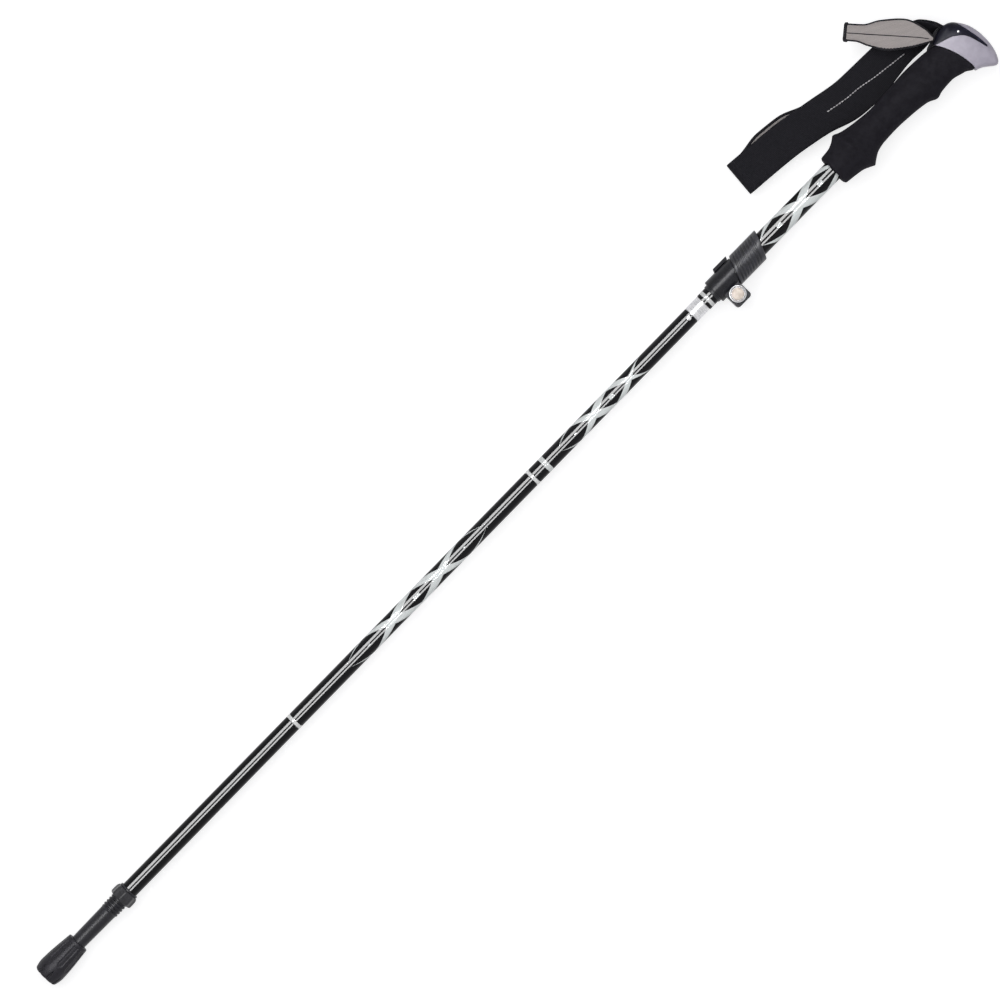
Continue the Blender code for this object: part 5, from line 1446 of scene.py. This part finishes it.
binding = strung("leaf_edge_binding", [edge_line], binding_reach, 0.00105)
black_tape = finish(
    "black_edge_tape", (0.008, 0.008, 0.011), (0.022, 0.021, 0.026), (0.55, 0.80), 2400.0,
    along=0.6, bump=0.5, sheen_weight=0.1, specular_ior_level=0.1,
)
fit(binding, "handle", "webbing", black_tape)
SEAM_ASIDE = ((0.02, -0.0003), (0.16, 0.0002), (0.51, -0.0006), (0.945, -0.0010), (1.0, -0.0010))
seam_line = []
for i in range(120):
    t = 0.045 + 0.930 * i / 119
    aside = through(SEAM_ASIDE, t)
    reach = through(TAIL_LEFT if aside > 0 else TAIL_RIGHT, t)
    seam_line.append(on_tail(t, aside / reach, 0.00055))
seam_thread = strung("leaf_centre_stitching", [seam_line], 0.00042, 0.00030, 8)
fit(seam_thread, "handle", "webbing", black_tape)

ROOT_STEPS = 24
ROOT_ASIDE = ((0.0, 0.0203), (0.30, 0.0186), (0.62, 0.0152), (1.0, 0.0139))
root_line = []
for i in range(ROOT_STEPS + 1):
    s = i / ROOT_STEPS
    root_line.append(Vector((1.1072 - 0.0200 * s, through(ROOT_ASIDE, s), 0.0030 - 0.0012 * s)))


def root_reach(i):
    """Half width of the folded tape, which thins towards both of its ends."""
    return 0.0010 + 0.0012 * math.sin(math.pi * i / ROOT_STEPS)


root_tape = strung("folded_root_tape", [root_line], root_reach, 0.0062, 20)
fit(root_tape, "handle", "webbing", black_tape)


# Floor, lights and camera
# The pole lies on a plain pale floor under soft studio lamps. The camera looks
# square down, turned so that the pole runs from corner to corner.


def seen_straight(tree):
    """1 for what the camera, a mirror or glass shows, 0 for light that falls on things."""
    rays = node(tree, "ShaderNodeLightPath").outputs
    seen = reckon(tree, "MAXIMUM", rays["Is Camera Ray"], rays["Is Glossy Ray"])
    return reckon(tree, "MAXIMUM", seen, rays["Is Transmission Ray"])


floor_mesh = bpy.data.meshes.new("pale_floor")
floor_mesh.from_pydata([(-6, -6, 0), (6, -6, 0), (6, 6, 0), (-6, 6, 0)], [], [(0, 1, 2, 3)])
floor = bpy.data.objects.new("pale_floor", floor_mesh)
bpy.context.scene.collection.objects.link(floor)
pale = bpy.data.materials.new("pale_floor_paint")
pale.use_nodes = True
tree = pale.node_tree
shader = tree.nodes["Principled BSDF"]
shader.inputs["Base Color"].default_value = (0.52, 0.52, 0.53, 1.0)
shader.inputs["Roughness"].default_value = 0.9
glow = reckon(tree, "MULTIPLY", seen_straight(tree), 0.72)
tree.links.new(glow, shader.inputs["Emission Strength"])
shader.inputs["Emission Color"].default_value = (1.0, 1.0, 1.0, 1.0)
floor.data.materials.append(pale)
floor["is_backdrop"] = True

world = bpy.data.worlds.new("studio")
bpy.context.scene.world = world
world.use_nodes = True
tree = world.node_tree
sky = tree.nodes["Background"]
sky.inputs["Color"].default_value = (1.0, 1.0, 1.0, 1.0)
glow = ramp(tree, seen_straight(tree), 0.0, 1.0, 0.20, 1.0)
tree.links.new(glow, sky.inputs["Strength"])


def lamp(name, place, aim, size, watts, only=None):
    """A soft rectangular lamp that points from one place at another."""
    light = bpy.data.lights.new(name, "AREA")
    light.shape = "RECTANGLE"
    light.size, light.size_y = size
    light.energy = watts
    stand = bpy.data.objects.new(name, light)
    bpy.context.scene.collection.objects.link(stand)
    stand.location = place
    stand.rotation_euler = (Vector(aim) - Vector(place)).to_track_quat("-Z", "Y").to_euler()
    stand.visible_camera = False
    stand.visible_glossy = only is not None
    if only:
        stand.visible_diffuse = False
        stand.light_linking.receiver_collection = only


enamelled = bpy.data.collections.new("enamelled tubes")
for piece in (section_5_tube, section_4_tube, section_3_tube, inner_tube, upper_tube):
    enamelled.objects.link(piece)
others = bpy.data.collections.new("other pieces")
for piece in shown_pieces():
    if piece.name not in enamelled.objects:
        others.objects.link(piece)
lamp("wide_softbox", (0.0, 0.9, 2.2), (0.0, 0.0, 0.0), (2.6, 2.0), 34.0)
lamp("near_softbox", (0.3, -1.4, 1.5), (0.0, 0.0, 0.0), (1.8, 1.0), 9.0)
lamp("wide_reflector", (0.0, 0.5, 2.0), (0.0, 0.0, 0.0), (2.6, 0.8), 60.0, others)
lamp("upper_strip", (0.0, 0.92, 1.6), (0.0, 0.0, 0.0), (3.2, 0.95), 560.0, enamelled)
lamp("lower_strip", (0.0, -0.34, 1.6), (0.0, 0.0, 0.0), (3.2, 0.50), 310.0, enamelled)

camera = bpy.data.objects.new("camera", bpy.data.cameras.new("camera"))
camera.data.lens = 200.0
camera.data.sensor_width = 36.0
camera.location = (-0.0038, -0.0156, 4.742)
camera.rotation_euler = (0.0, 0.0, math.radians(-45.65))
bpy.context.scene.collection.objects.link(camera)
bpy.context.scene.camera = camera
bpy.context.scene.view_settings.view_transform = "Standard"

bpy.context.view_layer.update()
